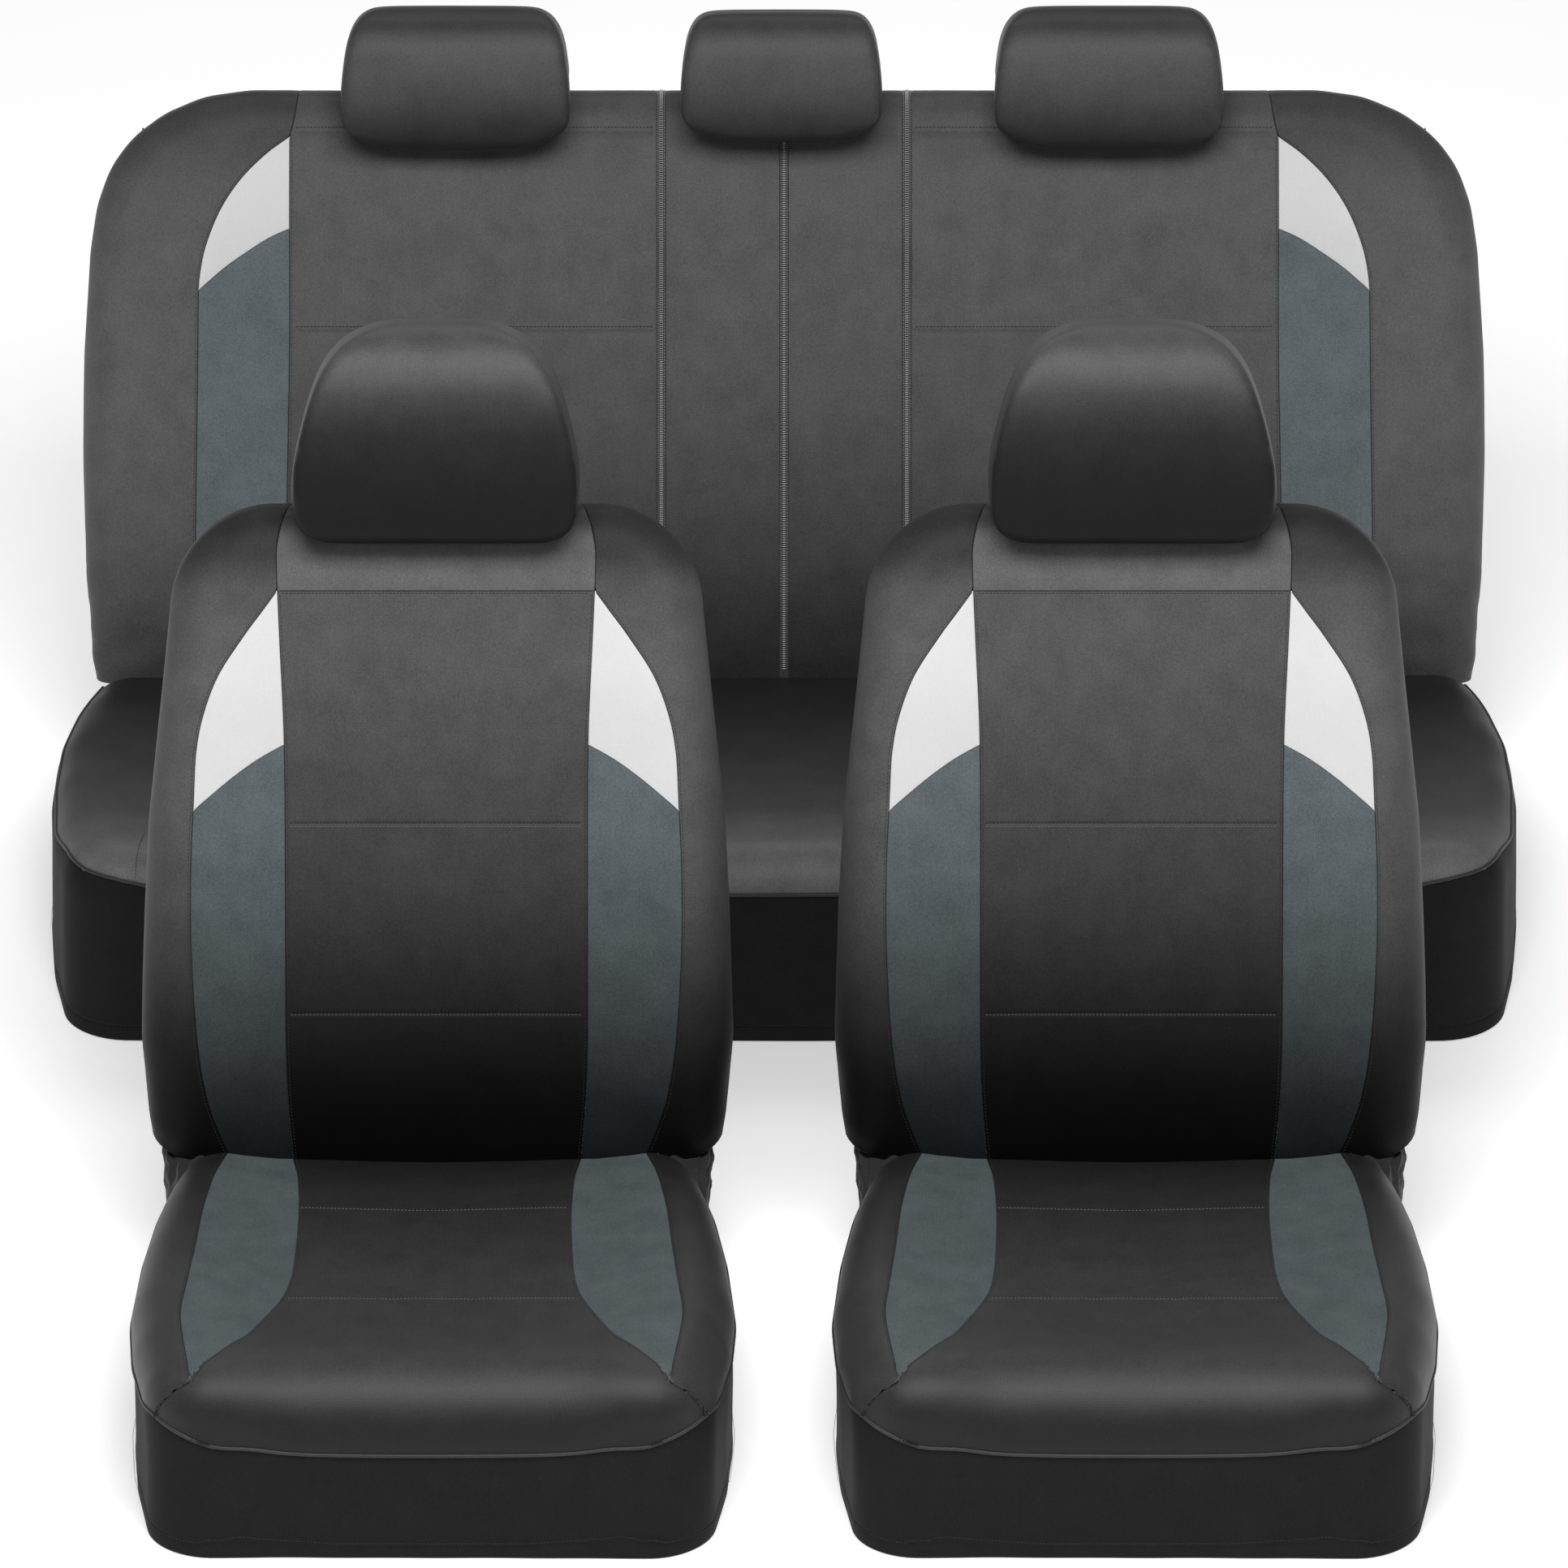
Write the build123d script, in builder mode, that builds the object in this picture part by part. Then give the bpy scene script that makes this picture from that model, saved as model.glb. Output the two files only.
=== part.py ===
from build123d import *
import math
import os

os.makedirs("parts", exist_ok=True)

# ---------------------------------------------------------------- driving dimensions (mm)
Y_SHIFT = -881.611          # puts the middle of the whole set over the origin

FABRIC = 4.0              # laminated knit, foam and lining
SEAT_X = 320.0            # each front seat's centre, left and right of the middle

# front seat back cover
FRONT_CREASE_Y = 484.0
FRONT_CREASE_Z = 156.0
FRONT_RECLINE = 20.0      # degrees from upright
FRONT_BACK_DEPTH = 112.0
FRONT_BACK_EDGE_R = 42.0
FRONT_SIDE_SEAM = 76.0    # how far behind the face the rear seam runs
FRONT_REAR_HEM_W = 44.0   # height of the rear panel's lower edge above the crease

# front seat cushion cover
CUSHION_TILT = 2.66       # degrees, nose up
FRONT_CUSHION_TOP = 178.6
FRONT_CUSHION_LENGTH = 471.0
FRONT_CUSHION_EDGE_R = 48.0
FRONT_SKIRT_HEIGHT = 110.0

# rear bench
BENCH_CREASE_Y = 1470.0
BENCH_CREASE_Z = 142.0
BENCH_RECLINE = 22.0
BENCH_BACK_DEPTH = 106.0
BENCH_BACK_EDGE_R = 38.0
BENCH_SIDE_SEAM = 74.0
BENCH_FLAP_HEM_W = 300.0
BENCH_FRONT_Y = 979.0
BENCH_TILT = 4.5
BENCH_CUSHION_TOP = 183.0
BENCH_SKIRT_HEIGHT = 148.0
BENCH_CUSHION_EDGE_R = 42.0

# zips
ZIP_X = 118.0             # the outer zips, left and right of the middle
ZIP_HALF_TAPE = 3.9       # half a chain with its tape edge
ZIP_GAP = 1.6             # between the two halves
ZIP_STOP_W = 332.0        # where the chains end on the rear flaps

# headrests
HEADREST_WALL = 4.0

# straps
STRAP_W = 25.0
STRAP_T = 1.8


def outline(points, radii, inset=0.0, below=0.0):
    """A closed outline from its right half, corners rounded, shrunk by inset.

    points run from the lowest corner up to the top; the first one is carried
    further down by below, so that a hollow can run out through the open end."""
    (x0, w0), (x1, w1) = points[0], points[1]
    slope = (x1 - x0) / (w1 - w0)
    right = [(x0 - slope * below, w0 - below)] + list(points[1:])
    left = [(-x, w) for x, w in reversed(right)]
    with BuildSketch(Plane.XY) as shape:
        with BuildLine():
            Polyline(*right, *left, close=True)
        make_face()
        for (x, w), r in zip(points, radii):
            if r:
                corners = [
                    v for v in shape.vertices()
                    if abs(abs(v.X) - x) < 0.05 and abs(v.Y - w) < 0.05
                ]
                fillet(corners, radius=r)
        if inset:
            offset(amount=-inset, kind=Kind.INTERSECTION)
    return shape.sketch


def region(*points):
    """A closed polygon, for cutting a sewn panel out of a shell."""
    with BuildSketch(Plane.XY) as shape:
        with BuildLine():
            Polyline(*points, close=True)
        make_face()
    return shape.sketch


def both_sides(points):
    return region(*points, *[(-x, w) for x, w in reversed(points)])


def frame(x, y, z, lean):
    """Local frame of a seat back: X across, Y up along the back, Z out of its face."""
    a = math.radians(lean)
    return Plane(
        origin=(x, y + Y_SHIFT, z), x_dir=(1, 0, 0),
        z_dir=(0, -math.cos(a), math.sin(a)),
    )


def cushion_frame(x, y, tilt):
    """Local frame of a cushion: X across, Y rearwards, Z up, nose raised by tilt."""
    a = math.radians(tilt)
    return Plane(
        origin=(x, y + Y_SHIFT, 0), x_dir=(1, 0, 0),
        z_dir=(0, math.sin(a), math.cos(a)),
    )


# ================================================================ front seat back cover
BACK_HALF = [(259, 0), (270, 95), (269, 225), (264.5, 310), (253, 419), (245.5, 490), (237, 592)]
BACK_RADII = [0, 250, 400, 300, 400, 300, 96]

with BuildPart() as back_outer:
    with BuildSketch(Plane.XY.offset(-FRONT_BACK_DEPTH)):
        add(outline(BACK_HALF, BACK_RADII))
    extrude(amount=FRONT_BACK_DEPTH)
    rims = [
        e for f in (back_outer.faces().sort_by(Axis.Z)[0], back_outer.faces().sort_by(Axis.Z)[-1])
        for e in f.edges() if e.center().Y > 1
    ]
    fillet(rims, radius=FRONT_BACK_EDGE_R)

with BuildPart() as back_inner:
    with BuildSketch(Plane.XY.offset(-FRONT_BACK_DEPTH + FABRIC)):
        add(outline(BACK_HALF, BACK_RADII, inset=FABRIC, below=60))
    extrude(amount=FRONT_BACK_DEPTH - 2 * FABRIC)
    rims = [
        e for f in (back_inner.faces().sort_by(Axis.Z)[0], back_inner.faces().sort_by(Axis.Z)[-1])
        for e in f.edges() if e.center().Y > -50
    ]
    fillet(rims, radius=FRONT_BACK_EDGE_R - FABRIC)

with BuildPart() as back_shell:
    add(back_outer.part)
    add(back_inner.part, mode=Mode.SUBTRACT)
    # two stitched slits in the top, for the headrest's posts
    with Locations((-65, 592, -56), (65, 592, -56)):
        Box(40, 30, 10, mode=Mode.SUBTRACT)

CENTRE_SEAM = [(133, -5), (137, 44), (139, 132), (139, 295), (140, 378), (141, 419), (146, 519)]
OUTER_SEAM = [
    (193.5, -5), (202, 16), (211, 44), (218, 81), (223, 132), (226, 202), (225.6, 272),
    (223.5, 317), (222.6, 341), (220.7, 373), (214.5, 405), (200.6, 442), (177.6, 477), (146, 519),
]
COLOUR_SPLIT = [(223.5, 317), (216, 324), (202, 336), (190.5, 345.5), (178, 355), (165.6, 363.6), (154, 370.4), (140, 378)]

grey_back = region(*CENTRE_SEAM[:5], *reversed(COLOUR_SPLIT[:-1]), *reversed(OUTER_SEAM[:7]))
white_back = region(*CENTRE_SEAM[4:], *reversed(OUTER_SEAM[7:13]), *COLOUR_SPLIT[1:-1])
centre_back = both_sides(CENTRE_SEAM)
yoke_back = both_sides([(146, 519), (146.5, 557), (142, 579), (133, 620)])

with BuildPart() as back_centre_panel:
    add(back_shell.part)
    with BuildSketch(Plane.XY.offset(5)):
        add(centre_back)
    extrude(amount=-5 - FRONT_SIDE_SEAM, mode=Mode.INTERSECT)

with BuildPart() as back_yoke:
    add(back_shell.part)
    with BuildSketch(Plane.XY.offset(5)):
        add(yoke_back)
    extrude(amount=-5 - FRONT_SIDE_SEAM, mode=Mode.INTERSECT)

with BuildPart() as back_grey_inserts:
    add(back_shell.part)
    with BuildSketch(Plane.XY.offset(5)):
        add(grey_back)
        mirror(about=Plane.YZ)
    extrude(amount=-5 - FRONT_SIDE_SEAM, mode=Mode.INTERSECT)

with BuildPart() as back_white_accents:
    add(back_shell.part)
    with BuildSketch(Plane.XY.offset(5)):
        add(white_back)
        mirror(about=Plane.YZ)
    extrude(amount=-5 - FRONT_SIDE_SEAM, mode=Mode.INTERSECT)

with BuildPart() as back_bolsters:
    add(back_shell.part)
    with Locations((0, 300, 200 - FRONT_SIDE_SEAM)):
        Box(1000, 1000, 400, mode=Mode.INTERSECT)
    with BuildSketch(Plane.XY.offset(5)):
        add(centre_back)
        add(yoke_back)
        add(grey_back)
        add(white_back)
        mirror(about=Plane.YZ)
    extrude(amount=-5 - FRONT_SIDE_SEAM, mode=Mode.SUBTRACT)

# the rear panel, down to its elastic hem
with BuildPart() as back_rear_panel:
    add(back_shell.part)
    with Locations((0, FRONT_REAR_HEM_W + 500, -FRONT_SIDE_SEAM - 200)):
        Box(1000, 1000, 400, mode=Mode.INTERSECT)


# ================================================================ headrest covers
def headrest(half, radii, front, rear, lip_n, lip_w, edge_r, mouth_x, mouth_n):
    """A pull-on headrest cover: hollow, open underneath, with a front lip that
    hangs down before the seat back. Returns the cover and its elastic hem."""
    depth = front - rear
    with BuildPart() as outer:
        with BuildSketch(Plane.XY.offset(rear)):
            add(outline(half, radii))
        extrude(amount=depth)
        flats = outer.faces().sort_by(Axis.Z)
        fillet(flats[0].edges() + flats[-1].edges(), radius=edge_r)
        with Locations((0, lip_w - 100, lip_n - 100)):
            Box(1000, 200, 200, mode=Mode.SUBTRACT)
    with BuildPart() as inner:
        with BuildSketch(Plane.XY.offset(rear + HEADREST_WALL)):
            add(outline(half, radii, inset=HEADREST_WALL))
        extrude(amount=depth - 2 * HEADREST_WALL)
        flats = inner.faces().sort_by(Axis.Z)
        fillet(flats[0].edges() + flats[-1].edges(), radius=edge_r - HEADREST_WALL)
        with Locations((0, lip_w + HEADREST_WALL - 100, lip_n + HEADREST_WALL - 100)):
            Box(1000, 200, 200, mode=Mode.SUBTRACT)
        # the mouth the headrest goes in by
        with Locations((0, lip_w, (mouth_n[0] + mouth_n[1]) / 2)):
            Box(2 * mouth_x, 30, mouth_n[1] - mouth_n[0])
    with BuildPart() as hem:
        add(outer.part)
        add(inner.part, mode=Mode.SUBTRACT)
        with Locations((0, lip_w, (mouth_n[0] + mouth_n[1]) / 2)):
            Box(2 * mouth_x + 14, 2 * HEADREST_WALL, mouth_n[1] - mouth_n[0] + 10, mode=Mode.INTERSECT)
    with BuildPart() as cover:
        add(outer.part)
        add(inner.part, mode=Mode.SUBTRACT)
        with Locations((0, lip_w, (mouth_n[0] + mouth_n[1]) / 2)):
            Box(2 * mouth_x + 14, 2 * HEADREST_WALL, mouth_n[1] - mouth_n[0] + 10, mode=Mode.SUBTRACT)
    return cover, hem


FRONT_HEADREST = [(112, 567), (129, 596), (130, 640), (124, 690), (105, 738), (62, 767)]
FRONT_HEADREST_R = [24, 24, 200, 120, 60, 58]
headrest_cover, headrest_hem = headrest(
    FRONT_HEADREST, FRONT_HEADREST_R, front=30, rear=-74, lip_n=5, lip_w=598,
    edge_r=34, mouth_x=100, mouth_n=(-62, -2),
)

# ================================================================ front cushion cover
SEAT_HALF = [(232, 0), (262, 55), (273, 140), (275, 200), (267, 310), (256, 395), (241, FRONT_CUSHION_LENGTH)]
SEAT_RADII = [30, 80, 150, 250, 300, 300, 0]


def seat_outline(inset=0.0, behind=0.0):
    """Plan of the front cushion, front edge at y = 0, running behind at the rear."""
    (xa, ya), (xb, yb) = SEAT_HALF[-2], SEAT_HALF[-1]
    slope = (xb - xa) / (yb - ya)
    right = SEAT_HALF[:-1] + [(xb + slope * behind, yb + behind)]
    left = [(-x, y) for x, y in reversed(right)]
    with BuildSketch(Plane.XY) as shape:
        with BuildLine():
            Polyline(*right, *left, close=True)
        make_face()
        for (x, y), r in zip(SEAT_HALF, SEAT_RADII):
            if r:
                fillet([v for v in shape.vertices() if abs(abs(v.X) - x) < 0.05 and abs(v.Y - y) < 0.05], radius=r)
        if inset:
            offset(amount=-inset, kind=Kind.INTERSECTION)
    return shape.sketch


with BuildPart() as seat_outer:
    with BuildSketch(Plane.XY.offset(-60)):
        add(seat_outline())
    extrude(amount=60 + FRONT_CUSHION_TOP)
    rims = [e for e in seat_outer.faces().sort_by(Axis.Z)[-1].edges() if e.center().Y < FRONT_CUSHION_LENGTH - 1]
    fillet(rims, radius=FRONT_CUSHION_EDGE_R)

with BuildPart() as seat_inner:
    with BuildSketch(Plane.XY.offset(-80)):
        add(seat_outline(inset=FABRIC, behind=60))
    extrude(amount=80 + FRONT_CUSHION_TOP - FABRIC)
    rims = [e for e in seat_inner.faces().sort_by(Axis.Z)[-1].edges() if e.center().Y < FRONT_CUSHION_LENGTH + 40]
    fillet(rims, radius=FRONT_CUSHION_EDGE_R - FABRIC)

with BuildPart() as seat_shell:
    add(seat_outer.part)
    add(seat_inner.part, mode=Mode.SUBTRACT)

SEAT_INNER_SEAM = [
    (132.5, 500), (127.6, 431), (125, 369), (125, 317), (127, 248), (130, 207), (136, 175.5),
    (150, 134.5), (165, 94), (178.5, 75), (197, 50), (217, 20),
]
SEAT_OUTER_SEAM = [(193.5, 500), (202.5, 426), (212, 352), (218, 269), (224.5, 187), (228, 139), (226, 96), (217, 20)]
centre_seat = both_sides(SEAT_INNER_SEAM + [(249, -15)])
grey_seat = region(*SEAT_INNER_SEAM, *reversed(SEAT_OUTER_SEAM[:-1]))
SEAT_SKIRT_CUT = FRONT_SKIRT_HEIGHT

with BuildPart() as seat_top:
    add(seat_shell.part)
    with Locations((0, 300, SEAT_SKIRT_CUT + 200)):
        Box(1000, 1000, 400, mode=Mode.INTERSECT)

with BuildPart() as seat_centre_panel:
    add(seat_top.part)
    with BuildSketch(Plane.XY):
        add(centre_seat)
    extrude(amount=300, mode=Mode.INTERSECT)

with BuildPart() as seat_grey_inserts:
    add(seat_top.part)
    with BuildSketch(Plane.XY):
        add(grey_seat)
        mirror(about=Plane.YZ)
    extrude(amount=300, mode=Mode.INTERSECT)

with BuildPart() as seat_bolsters:
    add(seat_top.part)
    with BuildSketch(Plane.XY):
        add(centre_seat)
        add(grey_seat)
        mirror(about=Plane.YZ)
    extrude(amount=300, mode=Mode.SUBTRACT)

with BuildPart() as seat_skirt:
    add(seat_shell.part)
    with Locations((0, 300, SEAT_SKIRT_CUT - 200)):
        Box(1000, 1000, 400, mode=Mode.INTERSECT)

# ================================================================ one front seat, in place


def strap_plate(points, thickness, width, x):
    """A flat web following a path in the side view, built up from its two edges."""
    top, low = [], []
    for i, (y, z) in enumerate(points):
        ya, za = points[max(i - 1, 0)]
        yb, zb = points[min(i + 1, len(points) - 1)]
        length = math.hypot(yb - ya, zb - za)
        ny, nz = -(zb - za) / length, (yb - ya) / length
        top.append((y + ny * thickness / 2 + Y_SHIFT, z + nz * thickness / 2))
        low.append((y - ny * thickness / 2 + Y_SHIFT, z - nz * thickness / 2))
    with BuildPart() as web:
        with BuildSketch(Plane.YZ.offset(x - width / 2)):
            with BuildLine():
                Polyline(*top, *reversed(low), close=True)
            make_face()
        extrude(amount=width)
    return web


for side, x in (("left_front", -SEAT_X), ("right_front", SEAT_X)):
    back_at = frame(x, FRONT_CREASE_Y, FRONT_CREASE_Z, FRONT_RECLINE)
    seat_at = cushion_frame(x, 0.0, CUSHION_TILT)
    for made, name, place in (
        (back_centre_panel, "back_centre_panel", back_at),
        (back_yoke, "back_yoke", back_at),
        (back_grey_inserts, "back_grey_inserts", back_at),
        (back_white_accents, "back_white_accents", back_at),
        (back_bolsters, "back_bolsters", back_at),
        (back_rear_panel, "back_rear_panel", back_at),
        (headrest_cover, "headrest_cover", back_at),
        (headrest_hem, "headrest_hem", back_at),
        (seat_centre_panel, "cushion_centre_panel", seat_at),
        (seat_grey_inserts, "cushion_grey_inserts", seat_at),
        (seat_bolsters, "cushion_bolsters", seat_at),
        (seat_skirt, "cushion_skirt", seat_at),
    ):
        with BuildPart() as panel:
            with Locations(place.location):
                add(made.part)
            if name == "cushion_skirt":
                # the hem hangs level, just at the floor
                split(bisect_by=Plane.XY, keep=Keep.TOP)
        panel.part.label = f"{side}_{name}"
        export_step(panel.part, f"parts/{side}_{name}.step")

    # crumpled gussets that close the outer ends of the crease
    with BuildPart() as gussets:
        with Locations((x - 253.5, 461 + Y_SHIFT, 122), (x + 253.5, 461 + Y_SHIFT, 122)):
            Box(7, 38, 48)
        fillet(gussets.edges().filter_by(Axis.X), radius=8)
    gussets.part.label = f"{side}_crease_gussets"
    export_step(gussets.part, f"parts/{side}_crease_gussets.step")

    # the flap that is pushed through the crease and strapped underneath
    with BuildPart() as flap:
        with BuildSketch(Plane.YZ.offset(x - 205)):
            with BuildLine():
                Polyline(
                    (484.5 + Y_SHIFT, 143), (487.5 + Y_SHIFT, 146), (540 + Y_SHIFT, 94),
                    (537 + Y_SHIFT, 91), close=True,
                )
            make_face()
        extrude(amount=410)
    flap.part.label = f"{side}_tuck_flap"
    export_step(flap.part, f"parts/{side}_tuck_flap.step")

    # male half of the side-release buckle: a body with three prongs, on the rear strap
    with BuildPart() as tongue:
        with Locations((x, 298.5 + Y_SHIFT, 9)):
            Box(32, 16, 7)
        with Locations((x, 299 + Y_SHIFT, 9)):
            Box(27, 5, 20, mode=Mode.SUBTRACT)
        with Locations((x - 11, 278.5 + Y_SHIFT, 9), (x + 11, 278.5 + Y_SHIFT, 9)):
            Box(4, 25, 3.4)
        with Locations((x, 281 + Y_SHIFT, 9)):
            Box(5, 20, 2.4)
    tongue.part.label = f"{side}_buckle_tongue"
    export_step(tongue.part, f"parts/{side}_buckle_tongue.step")

# ================================================================ rear bench back cover
BENCH_HALF = [(664, 0), (672, 90), (673, 210), (668, 340), (660, 430), (630, 506), (560, 551)]
BENCH_RADII = [0, 300, 400, 400, 150, 70, 60]

with BuildPart() as bench_outer:
    with BuildSketch(Plane.XY.offset(-BENCH_BACK_DEPTH)):
        add(outline(BENCH_HALF, BENCH_RADII))
    extrude(amount=BENCH_BACK_DEPTH)
    rims = [
        e for f in (bench_outer.faces().sort_by(Axis.Z)[0], bench_outer.faces().sort_by(Axis.Z)[-1])
        for e in f.edges() if e.center().Y > 1
    ]
    fillet(rims, radius=BENCH_BACK_EDGE_R)

with BuildPart() as bench_inner:
    with BuildSketch(Plane.XY.offset(-BENCH_BACK_DEPTH + FABRIC)):
        add(outline(BENCH_HALF, BENCH_RADII, inset=FABRIC, below=60))
    extrude(amount=BENCH_BACK_DEPTH - 2 * FABRIC)
    rims = [
        e for f in (bench_inner.faces().sort_by(Axis.Z)[0], bench_inner.faces().sort_by(Axis.Z)[-1])
        for e in f.edges() if e.center().Y > -50
    ]
    fillet(rims, radius=BENCH_BACK_EDGE_R - FABRIC)

HEADREST_X = 310.0
with BuildPart() as bench_shell:
    add(bench_outer.part)
    add(bench_inner.part, mode=Mode.SUBTRACT)
    # everything below the rear flap's hem is open behind
    with Locations((0, BENCH_FLAP_HEM_W - 500, -BENCH_SIDE_SEAM - 200)):
        Box(3000, 1000, 400, mode=Mode.SUBTRACT)
    # slits for the headrest posts
    with Locations(*[(px, 551, -53) for px in (-HEADREST_X - 60, -HEADREST_X + 60, -55, 55, HEADREST_X - 60, HEADREST_X + 60)]):
        Box(40, 30, 10, mode=Mode.SUBTRACT)

BENCH_INNER_SEAM = [(480, -5), (478, 157), (476, 258), (475, 423), (475, 511)]
BENCH_OUTER_SEAM = [(568, -5), (566, 113), (564.5, 210), (562.5, 364)]
BENCH_ARC = [(562.5, 364), (561, 381), (555.3, 407.4), (541.8, 441), (522.5, 470), (498.4, 494), (475, 511)]
BENCH_SPLIT = [(562.5, 364), (537.3, 385.8), (513, 402.7), (493.7, 414.7), (475, 423)]
zip_inner = ZIP_X - ZIP_GAP / 2
zip_outer = ZIP_X + ZIP_GAP / 2

bench_main = region((zip_outer + ZIP_HALF_TAPE, -5), *BENCH_INNER_SEAM, (472, 520), (466, 570), (zip_outer + ZIP_HALF_TAPE, 570))
bench_grey = region(*BENCH_INNER_SEAM[:4], *reversed(BENCH_SPLIT[:-1]), *reversed(BENCH_OUTER_SEAM[:-1]))
bench_white = region((475, 423), (475, 511), *reversed(BENCH_ARC[:-1]), *BENCH_SPLIT[1:-1])


def bench_panel(shape, flip, low=-BENCH_SIDE_SEAM):
    """Cut one sewn panel out of the bench back's face and top."""
    with BuildPart() as panel:
        add(bench_shell.part)
        with BuildSketch(Plane.XY.offset(5)):
            if flip:
                add(shape)
            else:
                mirror(shape, about=Plane.YZ)
        extrude(amount=-5 + low, mode=Mode.INTERSECT)
    return panel


def bench_slab(x0, x1, n0, n1, w0=-20, w1=700):
    """A block of the bench back shell between two planes across the seat."""
    with BuildPart() as slab:
        add(bench_shell.part)
        with Locations(((x0 + x1) / 2, (w0 + w1) / 2, (n0 + n1) / 2)):
            Box(abs(x1 - x0), w1 - w0, n1 - n0, mode=Mode.INTERSECT)
    return slab


bench_at = frame(0.0, BENCH_CREASE_Y, BENCH_CREASE_Z, BENCH_RECLINE)


def put_bench(made, name):
    with BuildPart() as piece:
        with Locations(bench_at.location):
            add(made.part)
    piece.part.label = name
    export_step(piece.part, f"parts/{name}.step")


for side, sign in (("bench_left", -1), ("bench_right", 1)):
    flip = sign > 0
    put_bench(bench_panel(bench_main, flip), f"{side}_main_panel")
    put_bench(bench_panel(bench_grey, flip), f"{side}_grey_insert")
    put_bench(bench_panel(bench_white, flip), f"{side}_white_accent")
    with BuildPart() as bolster:
        add(bench_shell.part)
        with Locations((sign * (475 + 250), 300, 200 - BENCH_SIDE_SEAM)):
            Box(530, 1000, 400, mode=Mode.INTERSECT)
        with BuildSketch(Plane.XY.offset(5)):
            if flip:
                add(bench_main)
                add(bench_grey)
                add(bench_white)
            else:
                mirror(bench_main, about=Plane.YZ)
                mirror(bench_grey, about=Plane.YZ)
                mirror(bench_white, about=Plane.YZ)
        extrude(amount=-5 - BENCH_SIDE_SEAM, mode=Mode.SUBTRACT)
    put_bench(bolster, f"{side}_bolster")
    put_bench(
        bench_slab(sign * (zip_outer + ZIP_HALF_TAPE), sign * 720, -200, -BENCH_SIDE_SEAM, w0=BENCH_FLAP_HEM_W),
        f"{side}_rear_flap",
    )
    # half a zip chain, down the face, over the top and down the flap
    with BuildPart() as half_chain:
        add(bench_shell.part)
        with Locations((sign * (zip_outer + ZIP_HALF_TAPE / 2), 300, 0)):
            Box(ZIP_HALF_TAPE, 1000, 500, mode=Mode.INTERSECT)
        with Locations((sign * ZIP_X, ZIP_STOP_W - 250, -BENCH_SIDE_SEAM - 100)):
            Box(40, 500, 200, mode=Mode.SUBTRACT)
    put_bench(half_chain, f"{side}_zip_half")

with BuildPart() as centre_panels:
    add(bench_shell.part)
    with Locations((0, 300, 200 - BENCH_SIDE_SEAM)):
        Box(2 * (zip_inner - ZIP_HALF_TAPE), 1000, 400, mode=Mode.INTERSECT)
    with Locations((0, 300, 0)):
        Box(2 * ZIP_HALF_TAPE + ZIP_GAP, 1000, 800, mode=Mode.SUBTRACT)
put_bench(centre_panels, "bench_centre_panels")

with BuildPart() as centre_flap:
    add(bench_shell.part)
    with Locations((0, 300, -200 - BENCH_SIDE_SEAM)):
        Box(2 * (zip_inner - ZIP_HALF_TAPE), 1000, 400, mode=Mode.INTERSECT)
    with Locations((0, 300, 0)):
        Box(2 * ZIP_HALF_TAPE + ZIP_GAP, 1000, 800, mode=Mode.SUBTRACT)
put_bench(centre_flap, "bench_centre_rear_flap")

with BuildPart() as centre_halves:
    add(bench_shell.part)
    with Locations((0, 300, 0)):
        Box(2 * zip_inner, 1000, 500, mode=Mode.INTERSECT)
    with Locations((0, 300, 0)):
        Box(2 * (zip_inner - ZIP_HALF_TAPE), 1000, 600, mode=Mode.SUBTRACT)
put_bench(centre_halves, "bench_centre_zip_halves")

# the middle zip's two halves, with a hair of air between them on the flap
with BuildPart() as middle_zip:
    add(bench_shell.part)
    with Locations((-(ZIP_GAP + ZIP_HALF_TAPE) / 2, 300, 0), ((ZIP_GAP + ZIP_HALF_TAPE) / 2, 300, 0)):
        Box(ZIP_HALF_TAPE, 1000, 500, mode=Mode.INTERSECT)
put_bench(middle_zip, "bench_centre_zip")

# zip sliders, parked at the lower end of each chain on the rear flaps
for name, zx in (("bench_zip_slider_left", -ZIP_X), ("bench_zip_slider_middle", 0.0), ("bench_zip_slider_right", ZIP_X)):
    rear = -BENCH_BACK_DEPTH
    with BuildPart() as slider:
        with Locations((zx, BENCH_FLAP_HEM_W + 15, rear - 1.5)):
            Box(10, 20, 2)
        with Locations((zx, BENCH_FLAP_HEM_W + 15, rear + FABRIC + 1.5)):
            Box(10, 20, 2)
        with Locations((zx, BENCH_FLAP_HEM_W + 15, rear + FABRIC / 2)):
            Box(0.8, 8, FABRIC + 4)
        # bail and hanging pull
        with Locations((zx, BENCH_FLAP_HEM_W + 17, rear - 4)):
            Box(3, 8, 4)
        with Locations((zx, BENCH_FLAP_HEM_W + 2, rear - 5)):
            Box(8, 30, 1.6)
    put_bench(slider, name)

# ================================================================ rear headrest covers
OUTBOARD_HALF = [(84, 502), (112, 524), (110.5, 566), (104, 612), (84, 635)]
OUTBOARD_R = [34, 26, 150, 60, 26]
CENTRE_HALF = [(74, 513), (99, 532), (98, 575), (92, 612), (80, 630)]
CENTRE_R = [28, 20, 150, 40, 14]
for name, hx, half, radii in (
    ("bench_left_headrest_cover", -HEADREST_X, OUTBOARD_HALF, OUTBOARD_R),
    ("bench_right_headrest_cover", HEADREST_X, OUTBOARD_HALF, OUTBOARD_R),
    ("bench_centre_headrest_cover", 0.0, CENTRE_HALF, CENTRE_R),
):
    cover, hem = headrest(
        half, radii, front=48, rear=-62, lip_n=4, lip_w=557, edge_r=24,
        mouth_x=half[3][0] - 26, mouth_n=(-50, -4),
    )
    with BuildPart() as whole:
        with Locations((hx, 0, 0)):
            add(cover.part)
            add(hem.part)
    put_bench(whole, name)

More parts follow.
